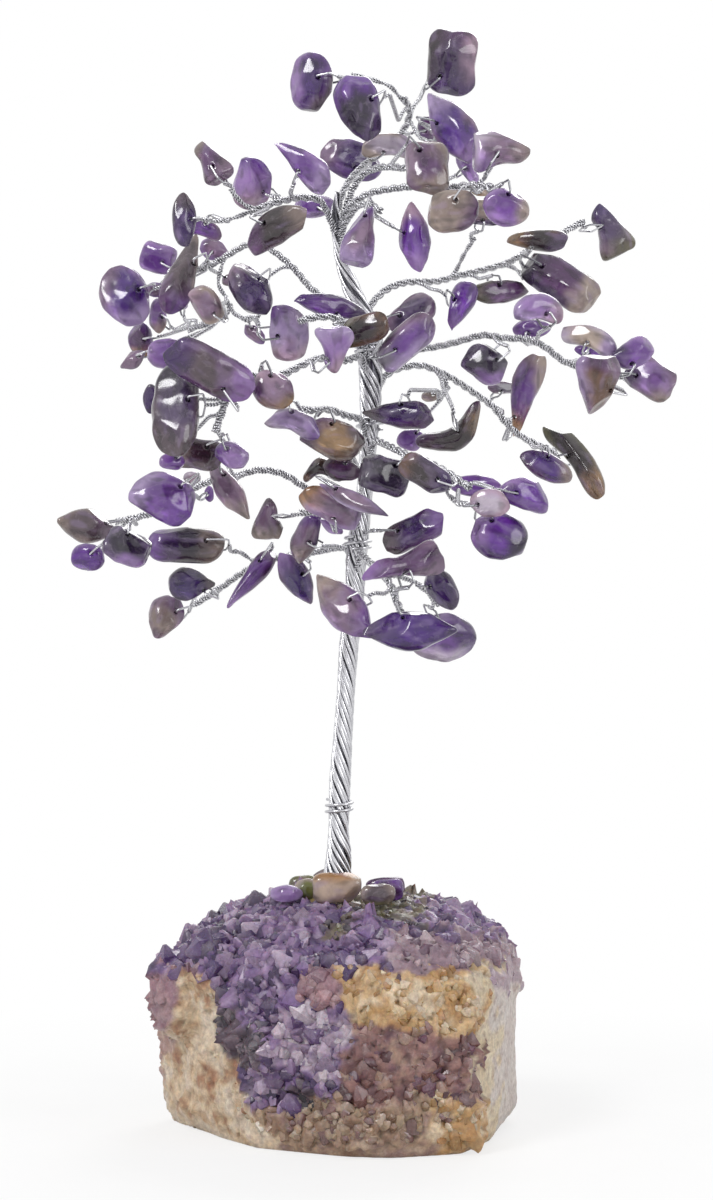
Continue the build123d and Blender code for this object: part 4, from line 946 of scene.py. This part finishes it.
def chip_tones(chip, body, points, seed):
    """Paints a chip: its core, paler or darker rim, coloured ends, streaks and clouds."""
    core, rim_tone, *ends = chip.colours.split()
    local = points - body.middle
    along, across = local @ body.along, local @ body.across
    cloud = smooth_noise(local, cloud_scale, seed)
    drawn_out = np.stack([along * streak_stretch, across, local @ body.through], axis=1)
    streak = smooth_noise(drawn_out, streak_scale, seed)
    out = np.sqrt((along / body.half_long) ** 2 + (across / body.half_wide) ** 2)
    # The rim is partly the chip's own colour zoning and partly painted light, paler where light
    # comes through the thin edge.
    rim = ramp(out + cloud * rim_cloud, *rim_range)[:, None]
    tone = linear(core) * (1 - rim) + linear(rim_tone) * rim
    for name, clock in zip(ends[::2], ends[1::2]):
        turn = radians(float(clock))
        side = local[:, 0] * cos(turn) - local[:, 2] * sin(turn)
        share = ramp(side / side.max() + cloud * end_cloud, *end_range)[:, None] * end_strength
        tone = tone * (1 - share) + linear(name) * share
    tone = tone * (1 - ramp(streak, *dark_range)[:, None] * dark_strength)
    light = ramp(-streak, *light_range)[:, None] * light_strength
    return tone * (1 - light) + linear("lilac") * light


def make_chip(name, chip, body, solid, seed, material):
    points, faces = chip_mesh(body, *solid, seed)
    piece = mesh_piece(name, points, faces, material)
    spread_tone(piece, chip_tones(chip, body, points, seed))
    return piece


def make_chips(bodies, material):
    limbs = {}
    for index, chip in enumerate(chips):
        limbs.setdefault(limb_of(chip.wire), []).append(index)
    for limb, members in limbs.items():
        node = limb + "_chips"
        solids = loose_solids(node)
        for place, index in enumerate(members):
            solid = take_nearest(solids, bodies[index].middle)
            name = "chip_{}_{}".format(limb, place + 1)
            piece = make_chip(name, chips[index], bodies[index], solid, index + 1, material)
            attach(piece, body_name(limb))
            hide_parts(node)


# Wires: limbs and branches of twisted pairs, and where their roots hide in what bears them
limb_pairs = 3
limb_strand = 0.17 * mm
branch_pairs = 2
branch_strand = 0.15 * mm
limb_drop_px = 20
limb_root_share = 0.55
twig_drop_px = 10


def make_wires(bodies, material):
    """Ropes along the routes, and a twig from them or from the trunk to each chip."""
    starts, ropes, twigs = {}, {}, {}
    for name, route in routes.items():
        points = [at(*point) for point in route.points]
        if route.parent == "trunk":
            radius, pairs, strand = limb_radius, limb_pairs, limb_strand
            start, side = trunk_start(route.y_px, points[0], radius)
            low, low_width = trunk_at(route.y_px + limb_drop_px)
            root = low + side * low_width * limb_root_share
        else:
            radius, pairs, strand = branch_radius, branch_pairs, branch_strand
            start, _, root = starts[name]
        solid_points, shown_points = [start, *points], [root, start, *points]
        line = bent(solid_points, full_radii(solid_points))
        shown = bent(shown_points, full_radii(shown_points))
        ropes.setdefault(limb_of(name), Shape()).rope(shown, radius, pairs, strand)
        children = [child for child, other in routes.items() if other.parent == name]
        hung = [index for index, chip in enumerate(chips) if chip.wire == name]
        targets = [at(*routes[child].points[0]) for child in children]
        targets += [bodies[index].middle for index in hung]
        starts.update(zip(children + hung, leave_points(line, radius, targets)))
    for index, (chip, body) in enumerate(zip(chips, bodies)):
        if chip.wire == "trunk":
            start, side = trunk_start(chip.y_px, body.middle, pair_radius)
            root = trunk_at(chip.y_px + twig_drop_px)[0]
        else:
            start, side, root = starts[index]
        shape = twigs.setdefault(limb_of(chip.wire), Shape())
        make_twig(shape, chip, body, start, side, root)
    for kind, shapes in (("_limb", ropes), ("_twigs", twigs)):
        for limb, shape in shapes.items():
            piece = shape.strands(limb + kind + "_wire", material)
            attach(piece, body_name(limb))
            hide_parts(limb + kind)


def make_twig(shape, chip, body, start, side, root):
    """A twisted pair from its parent wire to the chip, with its loop through the hole."""
    stem, outward, corners = chip_loop(chip, body, start)
    away = np.linalg.norm(stem - start)
    lift = start + side * (away * lift_share)
    arrival = stem + outward * min(arrival_run, arrival_share * away)
    points = [root] + eased([start, lift, arrival, stem])
    line = bent(points, np.minimum(full_radii(points), twig_bend))
    shape.pair(line, end_side=body.through)
    loop = bent(corners, np.minimum(full_radii(corners), loop_bend))
    shape.tube(loop, wire_radius, np.cross(tangents_of(loop), frames_of(loop)[1]))


trunk_strands = 13
trunk_pitch = 21.0 * mm
trunk_strand = 0.34 * mm
strand_sides = 8
strand_slack = 0.05 * mm
strand_wobble = 0.1
wobble_turn = 24
strand_ends = (0, 0, 20, 45, 70, 95, 120)
strand_seed = 40
core_least = 0.15 * mm
core_sides = 10
trunk_ring_count = 320
trunk_end_px = 192


def make_trunk(material):
    """The trunk's strands, some shorter than others, laid round a core."""
    shape = Shape()
    heights = np.linspace(tree_foot_px, trunk_end_px, trunk_ring_count)
    middles, widths = map(np.array, zip(*[trunk_at(y_px) for y_px in heights]))
    core = np.maximum(widths - 1.5 * trunk_strand, core_least)
    shape.tube(middles, core, np.tile([1.0, 0.0, 0.0], (len(heights), 1)), core_sides)
    # The core is painted wholly in shade, the dark that shows between the strands.
    shape.painted_light = [0.0] * len(shape.painted_light)
    for strand in range(trunk_strands):
        random = Random(strand + strand_seed)
        phases = np.linspace(0, wobble_turn, len(heights)) + random.uniform(0, 6)
        wobble = strand_wobble * np.sin(phases)
        angles = 2 * pi * (strand / trunk_strands - middles[:, 2] / trunk_pitch) + wobble
        outward = np.stack([np.cos(angles), np.sin(angles), 0 * angles], axis=1)
        thick = np.minimum(trunk_strand, pi * widths / (trunk_strands + pi) + strand_slack)
        line = middles + outward * (widths - thick)[:, None]
        last = len(heights) - random.choice(strand_ends)
        shape.tube(line[:last], thick[:last], outward[:last], strand_sides)
    piece = shape.strands("trunk_strands", material)
    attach(piece, "root")
    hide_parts("trunk_bundle")


# Rock
class Zone(NamedTuple):
    """A kind of stone: its colours, how broken it is, and its crystals in millimetres."""
    colours: list
    rough: float
    density: float
    least: float
    most: float


zones = {
    "purple": Zone([(62, 44, 82), (94, 70, 118), (118, 90, 140), (142, 114, 156), (162, 136, 172),
                    (80, 56, 102), (186, 166, 192)], 1.0, 0.9, 0.9, 2.8),
    "pale": Zone([(142, 118, 152), (176, 154, 178), (198, 182, 196), (108, 82, 128),
                  (214, 200, 208)], 1.0, 1.0, 1.0, 2.6),
    "smoky": Zone([(64, 52, 66), (92, 76, 90), (120, 102, 114), (52, 42, 56)], 1.0, 0.8, 1.0, 2.2),
    "veil": Zone([(142, 116, 130), (164, 140, 150), (124, 98, 116), (182, 162, 168)],
                 0.8, 0.7, 0.9, 2.2),
    "mauve": Zone([(158, 122, 132), (144, 110, 124), (176, 146, 150), (170, 132, 138)],
                  0.8, 0.7, 0.9, 2.0),
    "amber": Zone([(184, 140, 90), (202, 164, 112), (218, 190, 148), (192, 150, 98),
                   (228, 208, 178)], 0.8, 0.95, 0.7, 1.8),
    "brown": Zone([(104, 70, 74), (126, 88, 86), (144, 106, 98), (158, 122, 116), (116, 80, 96),
                   (170, 140, 122)], 1.0, 0.95, 0.8, 2.4),
    "base": Zone([(150, 120, 98), (168, 140, 118), (186, 160, 132), (144, 112, 108),
                  (196, 172, 150)], 0.8, 0.8, 0.8, 2.0),
    "matrix": Zone([(164, 118, 88), (212, 186, 150), (226, 206, 176), (218, 200, 178),
                    (232, 218, 196)], 0.5, 0.1, 0.5, 1.1),
    "edge": Zone([(192, 160, 146), (178, 148, 144), (206, 180, 160)], 0.6, 0.6, 0.8, 1.7),
    "cream": Zone([(216, 196, 162), (226, 212, 184), (208, 188, 156)], 0.2, 0.0, 0.5, 0.6),
    "corner": Zone([(176, 156, 168), (190, 172, 178), (166, 144, 160)], 0.3, 0.1, 1.0, 2.0),
    "sawn": Zone([(200, 186, 178), (216, 206, 198), (208, 198, 190), (222, 214, 204)],
                 0.08, 0.0, 0.5, 0.6),
    "dark": Zone([(68, 56, 70), (98, 88, 76), (108, 104, 72), (124, 108, 98)], 0.7, 0.8, 0.6,
                 1.5),
}

# Patches of the front: left, right, upper and lower border in pixels, and the kind of stone
patches = [
    (322, 425, 0, 926, "dark"), (0, 198, 966, 1014, "mauve"), (0, 178, 1014, 1082, "edge"),
    (0, 276, 1128, 1200, "matrix"), (441, 484, 1092, 1200, "amber"), (0, 484, 1102, 1200, "base"),
    (340, 484, 964, 1029, "amber"), (346, 484, 1029, 1200, "brown"),
    (298, 342, 966, 1006, "mauve"), (268, 344, 1016, 1066, "pale"),
    (224, 257, 1014, 1062, "smoky"), (292, 330, 1084, 1106, "smoky"),
    (380, 500, 934, 964, "veil"),
]
side_px = 178
slope_px = 222
slope_top_px = 974
sawn_px = 497
sawn_top_px = 990
cream_px = 482
cream_top_px = 966
slope_foot_px = 1013
slope_share = 0.36
foot_px = 1082
facing_back = 0.35
facing_right = 0.3
back_wave = (0.14, 90)
back_crystals = 0.6
back_broken = 0.42

# How borders wander: pixels, scale and shift of each wave
x_waves = ((20, 110, 0), (14, 300, 0))
y_waves = ((22, 110, 5), (14, 310, 0))


def wander(place, waves):
    return sum(reach * noise.noise(place * scale + Vector((shift, 0, 0)))
               for reach, scale, shift in waves)


def back_zone(point):
    """The kind of stone behind: crystals on top, broken rock, then matrix."""
    reach, scale = back_wave
    height = point[2] / rock_height + reach * noise.noise(Vector(point) * scale)
    return "purple" if height > back_crystals else "brown" if height > back_broken else "matrix"


def zone_of(point, normal):
    """The kind of stone at a place on the rock, with wandering borders."""
    if normal[1] > facing_back:
        return back_zone(point)
    x_px, y_px = pixel_of(point)
    x_px += wander(Vector(point), x_waves)
    y_px += wander(Vector(point), y_waves)
    if x_px > sawn_px and normal[0] > facing_right:
        return "corner" if y_px < sawn_top_px else "sawn"
    if x_px > cream_px and y_px > cream_top_px:
        return "cream"
    slope_end_px = slope_px + max(y_px - slope_foot_px, 0) * slope_share
    if y_px > slope_top_px and side_px <= x_px < slope_end_px:
        return "matrix"
    for left, right, upper, lower, name in patches:
        if left < x_px < right and upper < y_px < lower:
            return name
    return "matrix" if x_px < side_px and y_px > foot_px else "purple"


# The rock's mesh: how soft it is worn, how its flats break and where it swells
rock_voxel = 0.62 * mm
crisp_rounds = 4
soft_rounds = 40
sawn_edge_px = (461, 481)
foot_height = 0.4 * mm
smooth_height = 1.2 * mm
cell_count = 5000
cell_seed = 17
cell_tilt = 0.44
cell_lift = 0.22
cell_fall = 0.3
cell_relief = 1.5
rock_inset = 0.35 * mm
bulge_reach = 2.6 * mm
bulge_left_px, bulge_right_px = 172, 218
bulge_top_px = (975, 1010)
bulge_low_px = (1105, 1150)
# Painted shade in the clefts: the heights over which it lifts, then the share of colour left at its
# darkest and how much it lifts.
cleft_range = (-0.8 * mm, 0.3 * mm)
cleft_shade_least, cleft_shade_span = 0.6, 0.45
speck_range = (0.14, 0.42)


def face_places(points, faces):
    """Middle, normal and area of each face."""
    corners = points[np.array([face[:3] for face in faces])]
    middles = np.array([points[list(face)].mean(0) for face in faces])
    normals = np.cross(corners[:, 1] - corners[:, 0], corners[:, 2] - corners[:, 0])
    areas = np.linalg.norm(normals, axis=1)
    return middles, normals / areas[:, None], areas


def vertex_normals(points, faces, normals):
    total = np.zeros_like(points)
    for face, normal in zip(faces, normals):
        total[list(face)] += normal
    return total / np.linalg.norm(total, axis=1)[:, None]


def broken_faces(points, normals):
    """How far each vertex stands out on a surface of tilted flats, and its flat's number."""
    random = Random(cell_seed)
    seats = random.sample(range(len(points)), cell_count)
    tree = kdtree.KDTree(cell_count)
    for index, seat in enumerate(seats):
        tree.insert(points[seat], index)
    tree.balance()
    tilts = np.array([[random.gauss(0, cell_tilt) for _ in range(3)] for _ in seats])
    lifts = np.array([random.gauss(0, cell_lift) * mm for _ in seats])
    heights, owners = np.zeros(len(points)), np.zeros(len(points), int)
    for index, (point, normal) in enumerate(zip(points, normals)):
        best = -1.0
        for place, cell, gap in tree.find_n(point, 3):
            tilt = tilts[cell] - normal * tilts[cell].dot(normal)
            height = lifts[cell] + (point - np.array(place)).dot(tilt) - gap * cell_fall
            if height > best:
                best, owners[index] = height, cell
        heights[index] = best
    return heights, owners


def rock_blank():
    """The rock's solid on an even mesh, worn soft but for its sawn face and its foot."""
    points, faces = remeshed(*loose_solids("rock_base")[0], rock_voxel)
    edges = edges_of(faces)
    crisp = relaxed(points, edges, crisp_rounds)
    soft = relaxed(crisp, edges, soft_rounds)
    x_px = np.array([pixel_of(point)[0] for point in crisp])
    keep = ramp(x_px, *sawn_edge_px)[:, None]
    points = soft * (1 - keep) + crisp * keep
    foot = crisp[:, 2] < foot_height
    points[foot, 2] = np.minimum(crisp[foot, 2], points[foot, 2])
    return points, faces, edges


def left_bulge(points):
    """How much the matrix swells at the left of the front."""
    x_px, y_px = map(np.array, zip(*[pixel_of(point) for point in points]))
    beside = ramp(-x_px, -bulge_right_px, -bulge_left_px)
    return beside * ramp(y_px, *bulge_top_px) * (1 - ramp(y_px, *bulge_low_px))


def zone_tone(zone, value):
    """The stone's own colour, read along its list of colours."""
    place = min(max(value + 0.5, 0), 0.999) * (len(zone.colours) - 1)
    low = int(place)
    first, second = linear(zone.colours[low]), linear(zone.colours[low + 1])
    return first + (second - first) * (place - low)


def rock_tones(points, kinds, edges, rough, heights, owners):
    """Paints the rock: its zones' colours, painted shade in the clefts and speckled where sawn."""
    drift = smooth_noise(points, 190.0, 11) + 0.6 * smooth_noise(points, 620.0, 13)
    flats = np.array([Random(int(owner)).uniform(-0.5, 0.5) for owner in owners])
    places = drift * 0.8 + flats * np.minimum(rough[:, 0] * 1.4, 1)
    values = np.array([zone_tone(kind, place) for kind, place in zip(kinds, places)])
    values = relaxed(values, edges, 1)
    # Painted shade, darker where the broken flats sink into clefts, on rough stone only.
    shade = ramp(heights, *cleft_range)[:, None] * cleft_shade_span + cleft_shade_least
    values = values * (shade * rough + (1 - rough))
    specks = ramp(smooth_noise(points, 950.0, 23), *speck_range)[:, None] * 0.5 * (1 - rough)
    return values * (1 - specks) + linear("speck") * specks


def make_rock(body_material, crystal_material):
    points, faces, edges = rock_blank()
    middles, normals, areas = face_places(points, faces)
    out = vertex_normals(points, faces, normals)
    kinds = [zones[zone_of(point, normal)] for point, normal in zip(points, out)]
    rough = np.where(points[:, 2] < smooth_height, 0, [kind.rough for kind in kinds])
    rough = relaxed(rough[:, None].repeat(3, 1), edges, 3)[:, :1]
    swell = smooth_noise(points, 90.0, 3) * 1.1 + smooth_noise(points, 240.0, 5) * 0.6
    heights, owners = broken_faces(points, out)
    lift = swell[:, None] * mm + heights[:, None] * cell_relief - rock_inset
    moved = points + out * (lift * rough + left_bulge(points)[:, None] * bulge_reach)
    moved[:, 2] = np.maximum(moved[:, 2], 0)
    piece = mesh_piece("rock_body", moved, faces, body_material)
    spread_tone(piece, rock_tones(points, kinds, edges, rough, heights, owners))
    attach(piece, "root")
    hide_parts("rock_base")
    make_crystals(middles, normals, areas, crystal_material)


# Crystals: each ring's place along and width as shares, and how unlike each other they are
crystal_seeds = 5600
crystal_sides = 6
crystal_rings = ((-0.6, 0.8), (0.35, 1.0), (0.85, 0.16))
crystal_sink = 0.72
sink_range = (0.75, 1.3)
squat_range = (0.5, 1.0)
corner_turn = 0.2
corner_range = (0.8, 1.1)
length_range = (1.1, 2.1)
tone_range = (0.8, 1.15)
crystal_lean = 0.5
crystal_foot = 2.5 * mm
level_share = 0.6


def crystal(random, point, normal, axis, radius, length):
    """Corners of a squat, slightly uneven crystal with a small flat tip, sunk in the rock."""
    across = unit(np.cross(axis, [0.31, 0.87, 0.38]))
    other = np.cross(axis, across)
    turn = random.uniform(0, pi)
    squat = random.uniform(*squat_range)
    seat = point - normal * radius * crystal_sink * random.uniform(*sink_range)
    corners = []
    for height, size in crystal_rings:
        for side in range(crystal_sides):
            angle = turn + 2 * pi * side / crystal_sides
            angle += random.uniform(-corner_turn, corner_turn)
            reach = radius * size * random.uniform(*corner_range)
            corners.append(seat + axis * (height * length)
                           + across * (cos(angle) * reach) + other * (sin(angle) * reach * squat))
    return corners


def make_crystals(middles, normals, areas, material):
    """Crystals that crowd the broken faces of the rock, most of them sunk in it."""
    random = Random(4)
    shape, values = Shape(), []
    sides = crystal_sides
    faces = [tuple(range(sides))[::-1], tuple(range(2 * sides, 3 * sides))]
    for low in (0, sides):
        for side in range(sides):
            after = (side + 1) % sides
            faces.append((low + side, low + after, low + sides + after, low + sides + side))
    chosen = random.choices(range(len(middles)), weights=areas.tolist(), k=crystal_seeds)
    for face in chosen:
        point, normal = middles[face], normals[face]
        zone = zones[zone_of(point, normal)]
        if point[2] < crystal_foot or random.random() > zone.density:
            continue
        radius = (zone.least + (zone.most - zone.least) * random.random() ** 2) * mm
        level = normal[2] > level_share
        lean = np.array([random.gauss(0, crystal_lean) for _ in range(3)])
        axis = unit(normal * (0.7 if level else 0.35) + (0, 0, 0 if level else 0.9) + lean)
        length = radius * random.uniform(*length_range)
        shape.add(crystal(random, point, normal, axis, radius, length), faces)
        tone = linear(random.choice(zone.colours)) * random.uniform(*tone_range)
        # Painted light: each crystal's tip is painted paler as a glint and its sunk base darker as
        # shade in the recess.
        tip = tone * 0.8 + linear("tip") * 0.2
        values += [tone * 0.75] * sides + [tone] * sides + [tip] * sides
    piece = shape.build("rock_crystals", material, False)
    spread_tone(piece, np.array(values))
    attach(piece, "root")
    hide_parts("rock_base")


# Stones glued round the foot of the trunk: place, depth, length, width and colours
foot_stones = [
    (337, -0.24, 48, 30, "peach beige amber 270"), (307, -0.12, 24, 22, "moss beige"),
    (286, -0.2, 34, 17, "lavender lilac"), (386, 0.04, 40, 20, "mauve plum"),
    (388, -0.17, 30, 22, "plum violet"), (378, -0.36, 34, 22, "smoky taupe olive 90"),
    (330, 0.2, 40, 26, "taupe smoky"), (303, 0.12, 30, 20, "beige moss"),
]


def make_foot(material):
    solids = loose_solids("foot_chips")
    for index, (x_px, depth_share, long_px, wide_px, colours) in enumerate(foot_stones):
        middle = at(x_px, tree_foot_px, depth_share)
        middle[2] = rock_height + chip_length * wide_px / chip_px / 2 + stone_lift
        chip = Chip("rock", x_px, 0, 0, long_px, wide_px, 0, "oval", colours, 0.8)
        body = chip_body(chip, middle, 0.0, 0.0)
        piece = make_chip("foot_stone_{}".format(index + 1), chip, body,
                          take_nearest(solids, middle), index + 300, material)
        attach(piece, "root")
        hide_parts("foot_chips")


def dress_nodes(wire, glue):
    """Gives the CAD nodes that stay in view their materials."""
    for node, material, slot in (("trunk_wraps", wire, "silver_wire"),
                                 ("foot_glue", glue, "clear_glue")):
        piece = frame["nodes"][node]
        piece.data.materials.clear()
        piece.data.materials.append(material)


# Camera, floor and light
sensor_width = 36
floor_half = 6.0
ambient_strength = 0.5
lamp_aim = Vector((0, 0, 0.1))


def make_camera():
    """A level camera that stands where the photograph was taken."""
    data = bpy.data.cameras.new("camera")
    data.sensor_width = sensor_width
    data.lens = sensor_width * view_distance / (photo_height_px * m_per_px)
    data.clip_start, data.clip_end = 0.01, 30
    camera = added("camera", data)
    middle = at(middle_px, level_px)
    camera.location = (middle[0], -view_distance, middle[2])
    camera.rotation_euler = (radians(90), 0, 0)
    bpy.context.scene.camera = camera


def make_floor():
    """A pale floor that keeps the soft shadow near the rock and turns white further out."""
    material, tree, shader = new_material("floor")
    tree.links.new(patchy(tree, (0.3, 0.90), (0.7, 0.94), 40.0), shader.inputs["Base Color"])
    set_inputs(shader, {"Roughness": 0.9})
    white = add_node(tree, "ShaderNodeEmission")
    set_inputs(white, {"Strength": 1.0})
    coordinates = add_node(tree, "ShaderNodeTexCoord")
    distance = add_node(tree, "ShaderNodeVectorMath", operation="LENGTH")
    tree.links.new(coordinates.outputs["Object"], distance.inputs[0])
    fade = ramp_of(tree, distance.outputs["Value"], (0.05, 0.72), (0.16, 1.0))
    rays = add_node(tree, "ShaderNodeLightPath")
    seen = add_node(tree, "ShaderNodeMath", operation="MULTIPLY")
    tree.links.new(rays.outputs["Is Camera Ray"], seen.inputs[0])
    tree.links.new(fade, seen.inputs[1])
    join = add_node(tree, "ShaderNodeMixShader")
    tree.links.new(seen.outputs[0], join.inputs["Fac"])
    tree.links.new(shader.outputs["BSDF"], join.inputs[1])
    tree.links.new(white.outputs["Emission"], join.inputs[2])
    tree.links.new(join.outputs["Shader"], tree.nodes["Material Output"].inputs["Surface"])
    corners = np.array([(-1, -1, 0), (1, -1, 0), (1, 1, 0), (-1, 1, 0)]) * floor_half
    mesh_piece("floor", corners, [(0, 1, 2, 3)], material, False)


def make_world():
    """Plain white light, at full strength where it is seen, mirrored or looked through."""
    world = bpy.data.worlds.new("world")
    bpy.context.scene.world = world
    world.use_nodes = True
    tree = world.node_tree
    background = tree.nodes["Background"]
    set_inputs(background, {"Color": (1, 1, 1, 1)})
    rays = add_node(tree, "ShaderNodeLightPath")
    seen = rays.outputs["Is Camera Ray"]
    for kind in ("Is Transmission Ray", "Is Glossy Ray"):
        either = add_node(tree, "ShaderNodeMath", operation="MAXIMUM")
        tree.links.new(seen, either.inputs[0])
        tree.links.new(rays.outputs[kind], either.inputs[1])
        seen = either.outputs[0]
    strength = add_node(tree, "ShaderNodeMapRange")
    set_inputs(strength, {"To Min": ambient_strength, "To Max": 1.0})
    tree.links.new(seen, strength.inputs["Value"])
    tree.links.new(strength.outputs["Result"], background.inputs["Strength"])


def make_lamp(name, place, size, watts):
    data = bpy.data.lights.new(name, "AREA")
    data.shape = "DISK"
    data.size = size
    data.energy = watts
    lamp = added(name, data)
    lamp.location = place
    lamp.rotation_euler = (lamp_aim - Vector(place)).to_track_quat("-Z", "Y").to_euler()


make_camera()
make_world()
make_floor()
make_lamp("key", (-0.45, -0.6, 0.7), 0.35, 4.2)
make_lamp("fill", (0.7, -0.5, 0.35), 0.5, 1.8)
make_lamp("back", (0.2, 0.7, 0.6), 0.5, 2.4)

strands = wire_material("silver_strands", True)
polished = chip_material()
chip_places = chip_bodies()
make_wires(chip_places, strands)
make_trunk(strands)
make_chips(chip_places, polished)
make_foot(polished)
make_rock(rock_material("rock_matrix", 0.32, 0.7, 0.35, 0.0),
          rock_material("rock_crystals", 0.14, 0.36, 0.12, 0.08))
dress_nodes(wire_material("silver_wire", False), glue_material())

bpy.context.scene.view_settings.view_transform = "Standard"
